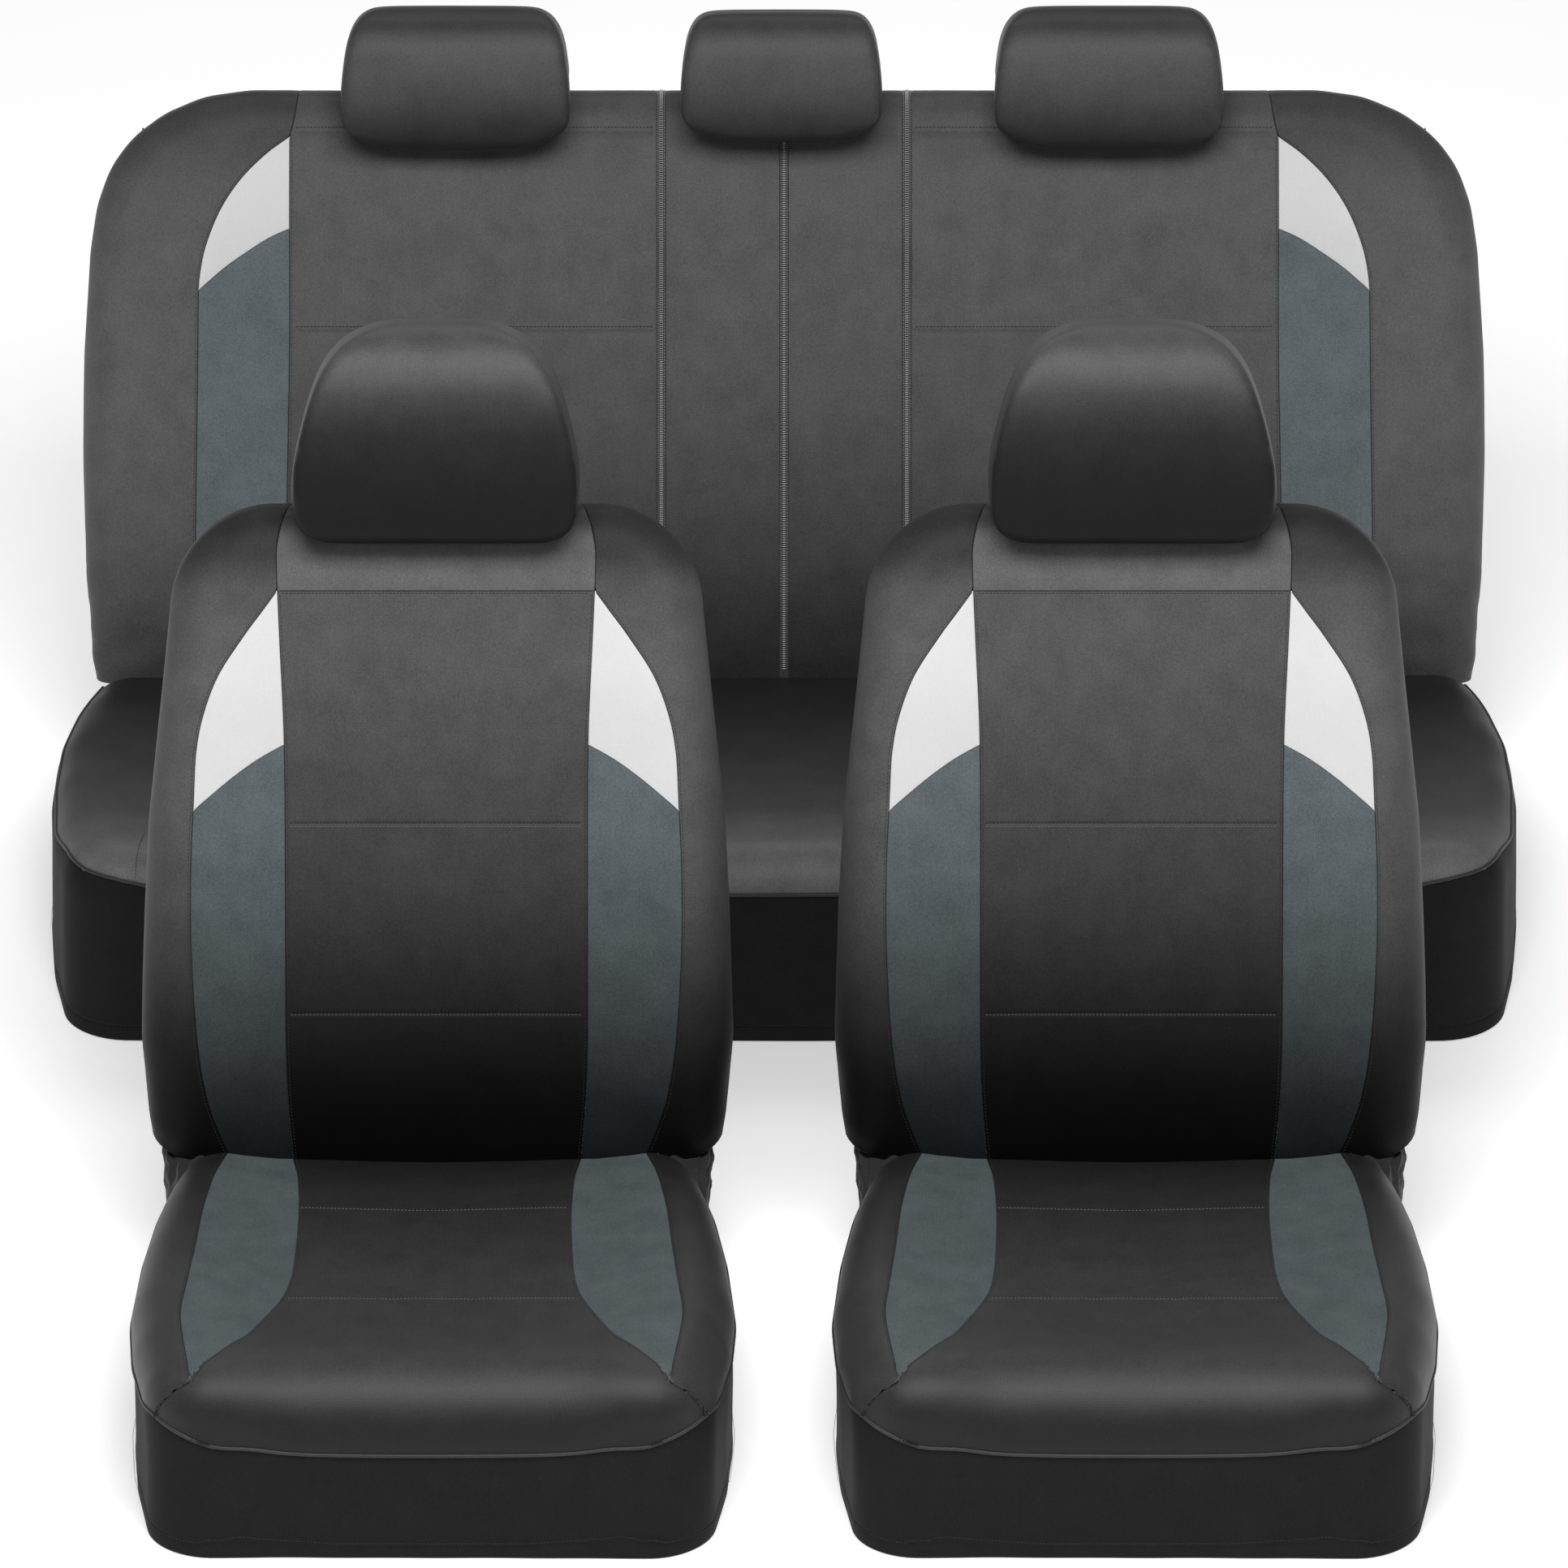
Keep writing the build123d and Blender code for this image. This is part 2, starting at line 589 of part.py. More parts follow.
# ================================================================ rear bench cushion cover
BENCH_LENGTH = (BENCH_CREASE_Y - 24 - BENCH_FRONT_Y) / math.cos(math.radians(BENCH_TILT))
BENCH_SEAT_HALF = [(655, 0), (683, 45), (694, 120), (697, 220), (691, 312), (674, 395), (655, BENCH_LENGTH)]
BENCH_SEAT_RADII = [34, 80, 200, 400, 300, 300, 0]


def bench_outline(inset=0.0, behind=0.0):
    (xa, ya), (xb, yb) = BENCH_SEAT_HALF[-2], BENCH_SEAT_HALF[-1]
    slope = (xb - xa) / (yb - ya)
    right = BENCH_SEAT_HALF[:-1] + [(xb + slope * behind, yb + behind)]
    left = [(-x, y) for x, y in reversed(right)]
    with BuildSketch(Plane.XY) as shape:
        with BuildLine():
            Polyline(*right, *left, close=True)
        make_face()
        for (x, y), r in zip(BENCH_SEAT_HALF, BENCH_SEAT_RADII):
            if r:
                fillet([v for v in shape.vertices() if abs(abs(v.X) - x) < 0.05 and abs(v.Y - y) < 0.05], radius=r)
        if inset:
            offset(amount=-inset, kind=Kind.INTERSECTION)
    return shape.sketch


with BuildPart() as bench_seat_outer:
    with BuildSketch(Plane.XY.offset(-60)):
        add(bench_outline())
    extrude(amount=60 + BENCH_CUSHION_TOP)
    rims = [e for e in bench_seat_outer.faces().sort_by(Axis.Z)[-1].edges() if e.center().Y < BENCH_LENGTH - 1]
    fillet(rims, radius=BENCH_CUSHION_EDGE_R)

with BuildPart() as bench_seat_inner:
    with BuildSketch(Plane.XY.offset(-80)):
        add(bench_outline(inset=FABRIC, behind=60))
    extrude(amount=80 + BENCH_CUSHION_TOP - FABRIC)
    rims = [e for e in bench_seat_inner.faces().sort_by(Axis.Z)[-1].edges() if e.center().Y < BENCH_LENGTH + 40]
    fillet(rims, radius=BENCH_CUSHION_EDGE_R - FABRIC)

bench_seat_at = cushion_frame(0.0, BENCH_FRONT_Y, BENCH_TILT)

with BuildPart() as bench_top_cut:
    add(bench_seat_outer.part)
    add(bench_seat_inner.part, mode=Mode.SUBTRACT)
    split(bisect_by=Plane.XY.offset(BENCH_SKIRT_HEIGHT), keep=Keep.TOP)
with BuildPart() as bench_skirt_cut:
    add(bench_seat_outer.part)
    add(bench_seat_inner.part, mode=Mode.SUBTRACT)
    split(bisect_by=Plane.XY.offset(BENCH_SKIRT_HEIGHT), keep=Keep.BOTTOM)
with BuildPart() as bench_cushion_top:
    with Locations(bench_seat_at.location):
        add(bench_top_cut.part)
with BuildPart() as bench_cushion_skirt:
    with Locations(bench_seat_at.location):
        add(bench_skirt_cut.part)
    # the hem hangs level, just at the floor
    split(bisect_by=Plane.XY, keep=Keep.TOP)
bench_cushion_top.part.label = "bench_cushion_top_panel"
export_step(bench_cushion_top.part, "parts/bench_cushion_top_panel.step")
bench_cushion_skirt.part.label = "bench_cushion_skirt"
export_step(bench_cushion_skirt.part, "parts/bench_cushion_skirt.step")

with BuildPart() as bench_tuck_flap:
    with BuildSketch(Plane.YZ.offset(-600)):
        with BuildLine():
            Polyline(
                (1469 + Y_SHIFT, 128), (1472 + Y_SHIFT, 131), (1524 + Y_SHIFT, 80),
                (1521 + Y_SHIFT, 77), close=True,
            )
        make_face()
    extrude(amount=1200)
bench_tuck_flap.part.label = "bench_tuck_flap"
export_step(bench_tuck_flap.part, "parts/bench_tuck_flap.step")

# ================================================================ straps, buckles and hooks
with BuildPart() as straps:
    for x in (-SEAT_X, SEAT_X):
        # front strap, from the front hem to the buckle
        add(strap_plate([(9.5, 26), (11, 12), (17, 9), (246, 9)], STRAP_T, STRAP_W, x).part)
        # rear strap, from the tuck flap's edge down, forwards and over the tongue
        add(strap_plate([(539, 90), (534, 60), (520, 22), (500, 11), (470, 9), (364, 9), (346, 14.3), (296, 14.3)], STRAP_T, STRAP_W, x).part)
    for x in (-420.0, 420.0):
        add(strap_plate([(1522, 76), (1516, 50), (1500, 20), (1480, 10), (1455, 8), (1300, 8)], STRAP_T, STRAP_W, x).part)
straps.part.label = "under_seat_straps"
export_step(straps.part, "parts/under_seat_straps.step")

with BuildPart() as receivers:
    with Locations((-SEAT_X, 272 + Y_SHIFT, 9), (SEAT_X, 272 + Y_SHIFT, 9)):
        Box(32, 34, 8.4)
    with Locations((-SEAT_X, 280 + Y_SHIFT, 9), (SEAT_X, 280 + Y_SHIFT, 9)):
        Box(27, 40, 4.6, mode=Mode.SUBTRACT)
    with Locations((-SEAT_X, 251.5 + Y_SHIFT, 9), (SEAT_X, 251.5 + Y_SHIFT, 9)):
        Box(32, 9, 6)
receivers.part.label = "buckle_receivers"
export_step(receivers.part, "parts/buckle_receivers.step")

HOOK_WIRE = 3.0
with BuildPart() as hooks:
    for x in (-420.0, 420.0):
        with BuildLine() as path:
            Spline(
                (x - 6, 1296 + Y_SHIFT, 8), (x + 7, 1290 + Y_SHIFT, 8), (x + 3, 1278 + Y_SHIFT, 8),
                (x - 6, 1266 + Y_SHIFT, 8), (x + 4, 1255 + Y_SHIFT, 8), (x + 11, 1262 + Y_SHIFT, 8),
            )
        with BuildSketch(Plane(origin=path.line @ 0, z_dir=path.line % 0)):
            Circle(HOOK_WIRE / 2)
        sweep(path=path.line)
hooks.part.label = "strap_hooks"
export_step(hooks.part, "parts/strap_hooks.step")
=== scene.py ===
import bpy
import math
import numpy as np
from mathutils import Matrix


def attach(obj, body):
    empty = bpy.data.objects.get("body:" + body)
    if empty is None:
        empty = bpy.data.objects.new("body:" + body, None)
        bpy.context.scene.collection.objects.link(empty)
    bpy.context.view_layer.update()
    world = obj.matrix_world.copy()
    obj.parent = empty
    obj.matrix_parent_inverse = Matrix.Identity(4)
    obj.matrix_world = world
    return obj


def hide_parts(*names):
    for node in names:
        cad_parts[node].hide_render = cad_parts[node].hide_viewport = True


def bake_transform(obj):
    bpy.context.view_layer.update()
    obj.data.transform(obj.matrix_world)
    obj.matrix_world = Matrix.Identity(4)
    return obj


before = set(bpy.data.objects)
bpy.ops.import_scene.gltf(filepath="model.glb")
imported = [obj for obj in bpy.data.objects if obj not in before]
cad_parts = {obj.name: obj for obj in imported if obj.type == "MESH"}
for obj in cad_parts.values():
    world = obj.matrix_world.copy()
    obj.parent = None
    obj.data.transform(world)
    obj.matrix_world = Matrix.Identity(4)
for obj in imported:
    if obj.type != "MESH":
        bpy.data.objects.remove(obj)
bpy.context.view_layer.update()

MM = 0.001
Y_SHIFT = -881.611
RNG = np.random.default_rng(7)

# ------------------------------------------------------------------ small maths
def smooth(a, b, x):
    t = np.clip((x - a) / (b - a), 0, 1)
    return t * t * (3 - 2 * t)


def wave_noise(p, scale, seed=0, octaves=3):
    """Smooth band-limited noise on points (n, 3), about -1 to 1."""
    r = np.random.default_rng(seed)
    out = np.zeros(len(p))
    total = 0.0
    for o in range(octaves):
        s = scale / (2 ** o)
        amp = 0.55 ** o
        for _ in range(5):
            d = r.normal(size=3)
            d /= np.linalg.norm(d)
            out += amp * np.sin(p @ d * (2 * math.pi / s) * r.uniform(0.7, 1.3) + r.uniform(0, 6.28)) / 2.2
        total += amp
    return out / total


def rounded(points, radii, step=1.5):
    """Dense polyline through points, corners rounded; the last point of a half
    outline rounds into a level line towards the middle."""
    pts = [np.array(p, float) for p in points]
    out = [pts[0]]
    for i in range(1, len(pts) - 1):
        p, a, b, r = pts[i], pts[i - 1], pts[i + 1], radii[i]
        d1, d2 = (a - p) / np.linalg.norm(a - p), (b - p) / np.linalg.norm(b - p)
        ang = math.acos(max(-1, min(1, float(d1 @ d2))))
        if r <= 0 or math.pi - ang < 1e-4:
            out.append(p)
            continue
        tl = r / math.tan(ang / 2)
        c = p + (d1 + d2) / np.linalg.norm(d1 + d2) * (r / math.sin(ang / 2))
        v1, v2 = p + d1 * tl - c, p + d2 * tl - c
        a1, a2 = math.atan2(v1[1], v1[0]), math.atan2(v2[1], v2[0])
        da = (a2 - a1 + math.pi) % (2 * math.pi) - math.pi
        k = max(3, int(abs(da) * r / step))
        for j in range(k + 1):
            t = a1 + da * j / k
            out.append(c + r * np.array([math.cos(t), math.sin(t)]))
    out.append(pts[-1])
    return resample(np.array(out), step=step)


def lengths(p):
    return np.concatenate([[0], np.cumsum(np.linalg.norm(np.diff(p, axis=0), axis=1))])


def resample(p, step=None, at=None):
    s = lengths(p)
    if at is None:
        n = max(2, int(s[-1] / step) + 1)
        at = np.linspace(0, s[-1], n)
    return np.stack([np.interp(at, s, p[:, k]) for k in range(p.shape[1])], 1)


def spaced(length, step, lines=(), seam0=True, seam1=True):
    """Distances along a side, closer together by a seam and by sewn lines."""
    fine = [0.0, 0.5, 1.1, 1.9, 3.0, 4.6, 7.0]
    marks = set()
    if seam0:
        marks.update(fine)
    if seam1:
        marks.update(length - f for f in fine)
    for l in lines:
        marks.update(l + s for s in (-7, -4.4, -2.8, -1.7, -0.9, -0.3, 0.3, 0.9, 1.7, 2.8, 4.4, 7))
    marks.update((0.0, length))
    m = sorted(x for x in marks if 0 <= x <= length)
    out = [m[0]]
    for x in m[1:]:
        gap = x - out[-1]
        if gap < 0.18:
            continue
        k = max(1, int(math.ceil(gap / step)))
        base = out[-1]
        out.extend(base + gap * (j + 1) / k for j in range(k))
    out[-1] = length
    return np.array(out)


# ------------------------------------------------------------------ rolled shells
class Shell:
    """A flat face whose border rolls over an edge into a wall, and on into the back.

    Points are given on the unrolled cloth: inside the inset border they are plain
    face points, outside it they are border point + outward normal * run."""

    def __init__(self, outline, radius, wall, radius2, crown, below=80.0):
        right = outline
        d = right[1] - right[0]
        d /= np.linalg.norm(d)
        ext = right[0] - d * np.arange(below, 0.4, -1.5)[:, None]
        right = np.concatenate([ext, right])
        left = right[::-1] * [-1, 1]
        full = np.concatenate([right, left[1:]])
        full = resample(full, step=1.5)
        t = np.gradient(full, axis=0)
        t /= np.linalg.norm(t, axis=1)[:, None]
        k = np.ones(9) / 9
        pad = np.pad(t, ((4, 4), (0, 0)), mode="edge")
        t = np.stack([np.convolve(pad[:, i], k, "valid") for i in (0, 1)], 1)
        t /= np.linalg.norm(t, axis=1)[:, None]
        nrm = np.stack([t[:, 1], -t[:, 0]], 1)
        self.R = radius(full) if callable(radius) else np.full(len(full), float(radius))
        # the roll is tighter where the outline turns sharply
        th = np.unwrap(np.arctan2(t[:, 1], t[:, 0]))
        kap = np.abs(np.gradient(th)) / 1.5
        kap = np.convolve(np.pad(kap, 6, mode="edge"), np.ones(13) / 13, "valid")
        r = np.minimum(self.R, 0.8 / np.maximum(kap, 1e-6))
        r = np.min([np.roll(r, i) for i in range(-8, 9)], 0)
        self.R = np.convolve(np.pad(r, 12, mode="edge"), np.ones(25) / 25, "valid")
        self.C = full - nrm * self.R[:, None]
        self.N, self.T = nrm, t
        self.outline = full
        self.wall, self.R2, self.crown = wall, radius2, crown

    def nearest(self, U):
        idx = np.empty(len(U), int)
        for i in range(0, len(U), 4000):
            u = U[i:i + 4000]
            d = (u[:, None, 0] - self.C[None, :, 0]) ** 2 + (u[:, None, 1] - self.C[None, :, 1]) ** 2
            idx[i:i + 4000] = d.argmin(1)
        idx = np.clip(idx, 1, len(self.C) - 2)
        a, b = self.C[idx - 1], self.C[idx + 1]
        ab = b - a
        f = ((U - a) * ab).sum(1) / (ab * ab).sum(1)
        f = np.clip(f, 0, 1)
        C = a + ab * f[:, None]
        N = self.N[idx - 1] * (1 - f)[:, None] + self.N[idx + 1] * f[:, None]
        N /= np.linalg.norm(N, axis=1)[:, None]
        R = self.R[idx - 1] * (1 - f) + self.R[idx + 1] * f
        return C, N, R, ((U - C) * N).sum(1)

    def unroll(self, P):
        """From points as seen square on to the face, to points on the cloth."""
        P = np.asarray(P, float)
        C, N, R, d = self.nearest(P)
        e = R * np.arcsin(np.clip(d / R, 0, 1))
        return np.where((d > 0)[:, None], C + N * e[:, None], P)

    def offset(self, e):
        e = e if np.ndim(e) else np.full(len(self.C), float(e))
        return self.C + self.N * e[:, None]

    def at(self, U):
        U = np.asarray(U, float)
        return self.lift(*self.nearest(U), U)

    def lift(self, C, N, R, e, U=None):
        """Where the cloth lies, for border points, their normals and the run over the edge."""
        U = C if U is None else U
        out = e > 0
        q = R * math.pi / 2
        wall = self.wall(R) if callable(self.wall) else self.wall
        e1 = np.clip(e, 0, q)
        g = R * np.sin(e1 / R)
        h = R * (1 - np.cos(e1 / R))
        e2 = np.clip(e - q, 0, wall)
        h = h + e2
        e3 = np.clip(e - q - wall, 0, None)
        if self.R2:
            ph = np.clip(e3 / self.R2, 0, math.pi / 2)
            g = g - self.R2 * (1 - np.cos(ph))
            h = h + self.R2 * np.sin(ph)
            g = g - np.clip(e3 - self.R2 * math.pi / 2, 0, None)
        base = np.where(out[:, None], C + N * g[:, None], U)
        n = self.crown(np.where(out[:, None], C, U)) * np.where(out, np.clip(1 - h / (1.6 * R), 0, 1), 1) - np.where(out, h, 0)
        return np.column_stack([base, n])


def coons(left, right, bottom, top, ia, ib):
    """Transfinite patch; left and right run bottom to top, bottom and top left to right."""
    def par(p, f):
        s = lengths(p)
        return resample(p, at=f * s[-1]) if s[-1] > 1e-9 else np.repeat(p[:1], len(f), 0)
    L, Rr, B, T = par(left, ib), par(right, ib), par(bottom, ia), par(top, ia)
    a, b = ia[None, :, None], ib[:, None, None]
    P = (1 - a) * L[:, None] + a * Rr[:, None] + (1 - b) * B[None] + b * T[None]
    P -= (1 - a) * (1 - b) * left[0] + a * (1 - b) * right[0] + (1 - a) * b * left[-1] + a * b * right[-1]
    return P


def grid_normals(P):
    du = np.gradient(P, axis=1)
    dv = np.gradient(P, axis=0)
    n = np.cross(du, dv)
    ln = np.linalg.norm(n, axis=2)
    bad = ln < 1e-9
    n[bad] = [0, 0, 1]
    ln[bad] = 1
    return n / ln[..., None]


class Place:
    """Local (x, along, out) in mm to the row frame in metres."""

    def __init__(self, o, X, V, T):
        self.o, self.M = np.array(o, float), np.array([X, V, T], float)

    def __call__(self, p):
        return (self.o + np.asarray(p) @ self.M) * MM


def back_place(x, y, z, lean):
    a = math.radians(lean)
    return Place((x, y + Y_SHIFT, z), (1, 0, 0), (0, math.sin(a), math.cos(a)), (0, -math.cos(a), math.sin(a)))


def seat_place(x, y, tilt):
    a = math.radians(tilt)
    return Place((x, y + Y_SHIFT, 0), (1, 0, 0), (0, math.cos(a), -math.sin(a)), (0, math.sin(a), math.cos(a)))


# ------------------------------------------------------------------ meshes
def new_object(name, verts, faces, uvs=None, mats=(), face_mat=None, shade=True):
    me = bpy.data.meshes.new(name)
    me.from_pydata([tuple(v) for v in verts], [], [tuple(f) for f in faces])
    me.update()
    if uvs is not None:
        layer = me.uv_layers.new(name="cloth")
        li = np.empty(len(me.loops), int)
        me.loops.foreach_get("vertex_index", li)
        layer.data.foreach_set("uv", np.asarray(uvs, float)[li].ravel())
    for m in mats:
        me.materials.append(m)
    if face_mat is not None:
        me.polygons.foreach_set("material_index", np.asarray(face_mat, int))
    if shade:
        me.polygons.foreach_set("use_smooth", [True] * len(me.polygons))
    ob = bpy.data.objects.new(name, me)
    bpy.context.scene.collection.objects.link(ob)
    return ob


class Cloth:
    """Gathers patches of one sewn piece, then makes its object."""

    def __init__(self):
        self.v, self.f, self.uv, self.area, self.n = [], [], [], 0.0, 0

    def add(self, P, U, flip):
        h, w = P.shape[:2]
        idx = np.arange(h * w).reshape(h, w) + self.n
        q = np.stack([idx[:-1, :-1], idx[:-1, 1:], idx[1:, 1:], idx[1:, :-1]], -1).reshape(-1, 4)
        if flip:
            q = q[:, ::-1]
        self.v.append(P.reshape(-1, 3))
        self.f.append(q)
        self.uv.append(U.reshape(-1, 2) * MM)
        a = np.linalg.norm(np.cross(P[1:, :-1] - P[:-1, :-1], P[:-1, 1:] - P[:-1, :-1]), axis=2).sum()
        self.area += float(a)
        self.n += h * w

    def build(self, name, mat, body=None, replaces=(), thick=2.2, slot=None, blend=None, held="stretched", rests_on=()):
        v = np.concatenate(self.v)
        f = np.concatenate(self.f)
        keep = [len(set(q)) >= 3 for q in f.tolist()]
        ob = new_object(name, v, f[np.array(keep)], np.concatenate(self.uv), [mat])
        if thick:
            m = ob.modifiers.new("cloth", "SOLIDIFY")
            m.thickness = thick * MM
            m.offset = -1
            m.use_rim = True
        if body:
            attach(ob, body)
        if blend:
            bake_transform(ob)
        if replaces:
            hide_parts(*replaces)
        side = math.sqrt(self.area)
        u = np.concatenate(self.uv)
        w, l = np.ptp(u[:, 0]), np.ptp(u[:, 1])
        w, l = max(w, 0.02), max(l, 0.02)
        if w * l * 0.98 < self.area:
            k = math.sqrt(self.area / (w * l * 0.98))
            w, l = w * k, l * k
        if self.area < 0.31 * w * l:
            w = l = side * 1.02
        return ob


def sewn(shell, place, left, right, bottom, top, step=6.0, seams="lrbt", lines_b=(), roll=1.1, puff=0.7,
         pucker=0.16, seed=0, extra=None, line_depth=0.8, line_span=None):
    """One panel: patch points on the cloth, rolled in at its seams, slightly puffed."""
    la = 0.5 * (lengths(bottom)[-1] + lengths(top)[-1])
    la = max(la, 0.5 * la + 0.5 * np.linalg.norm(left[len(left) // 2] - right[len(right) // 2]))
    lb = 0.5 * (lengths(left)[-1] + lengths(right)[-1])
    ia = spaced(la, step, (), "l" in seams, "r" in seams) / la
    ib = spaced(lb, step, lines_b, "b" in seams, "t" in seams) / lb
    U = coons(left, right, bottom, top, ia, ib)
    h, w = U.shape[:2]
    P = shell.at(U.reshape(-1, 2)).reshape(h, w, 3)
    N = grid_normals(P)
    # distances to each side, along the cloth
    ca = np.concatenate([np.zeros((h, 1)), np.cumsum(np.linalg.norm(np.diff(P, axis=1), axis=2), 1)], 1)
    cb = np.concatenate([np.zeros((1, w)), np.cumsum(np.linalg.norm(np.diff(P, axis=0), axis=2), 0)], 0)
    big = np.full((h, w), 1e3)
    d = big.copy()
    if "l" in seams: d = np.minimum(d, ca)
    if "r" in seams: d = np.minimum(d, ca[:, -1:] - ca)
    if "b" in seams: d = np.minimum(d, cb)
    if "t" in seams: d = np.minimum(d, cb[-1:] - cb)
    sag = np.where(d < roll, roll - np.sqrt(np.clip(roll ** 2 - (roll - d) ** 2, 0, None)), 0)
    flat = P.reshape(-1, 3)
    ripple = wave_noise(flat, 13.0, seed + 11, 2).reshape(h, w) * pucker * np.exp(-d / 6.0) * (d > 0.3)
    broad = wave_noise(flat, 170.0, seed + 3, 2).reshape(h, w) * 0.5 * (1 - np.exp(-d / 25.0))
    disp = -sag + puff * (1 - np.exp(-d / 8.0)) + ripple + broad
    for l in lines_b:
        dd = cb - l * (cb[-1:] / lb)
        fade = 1.0
        if line_span:
            fade = smooth(0, 3, ca - line_span[0]) * smooth(0, 3, ca[:, -1:] - ca - line_span[1])
        disp = disp - fade * (line_depth * np.exp(-(dd / 1.3) ** 2) - 0.25 * np.exp(-((dd + 4.0) / 3.0) ** 2) - 0.25 * np.exp(-((dd - 4.0) / 3.0) ** 2))
    if extra is not None:
        disp = disp + extra(U, P, d)
    return P, N, disp, U


def lay(cloth, place, sh, mirror=False, out=(0, 0, 1), both=False):
    """Puts a panel's patch in a Cloth, on its right side, its left side, or both."""
    P, N, disp, U = sh
    # N must point out of the cover
    flipN = 1.0
    c = N.reshape(-1, 3).mean(0)
    if c @ np.array(out, float) < 0:
        flipN = -1.0
    Q = P + N * flipN * disp[..., None]
    for m in ((False, True) if both else (mirror,)):
        W = Q * [-1, 1, 1] if m else Q
        UV = U * [-1, 1] if m else U
        cloth.add(place(W), UV, flip=(flipN < 0) != m)
    return Q


# ------------------------------------------------------------------ materials
def material(name):
    m = bpy.data.materials.new(name)
    m.use_nodes = True
    nt = m.node_tree
    for n in list(nt.nodes):
        nt.nodes.remove(n)
    out = nt.nodes.new("ShaderNodeOutputMaterial")
    p = nt.nodes.new("ShaderNodeBsdfPrincipled")
    nt.links.new(p.outputs[0], out.inputs[0])
    return m, nt, p


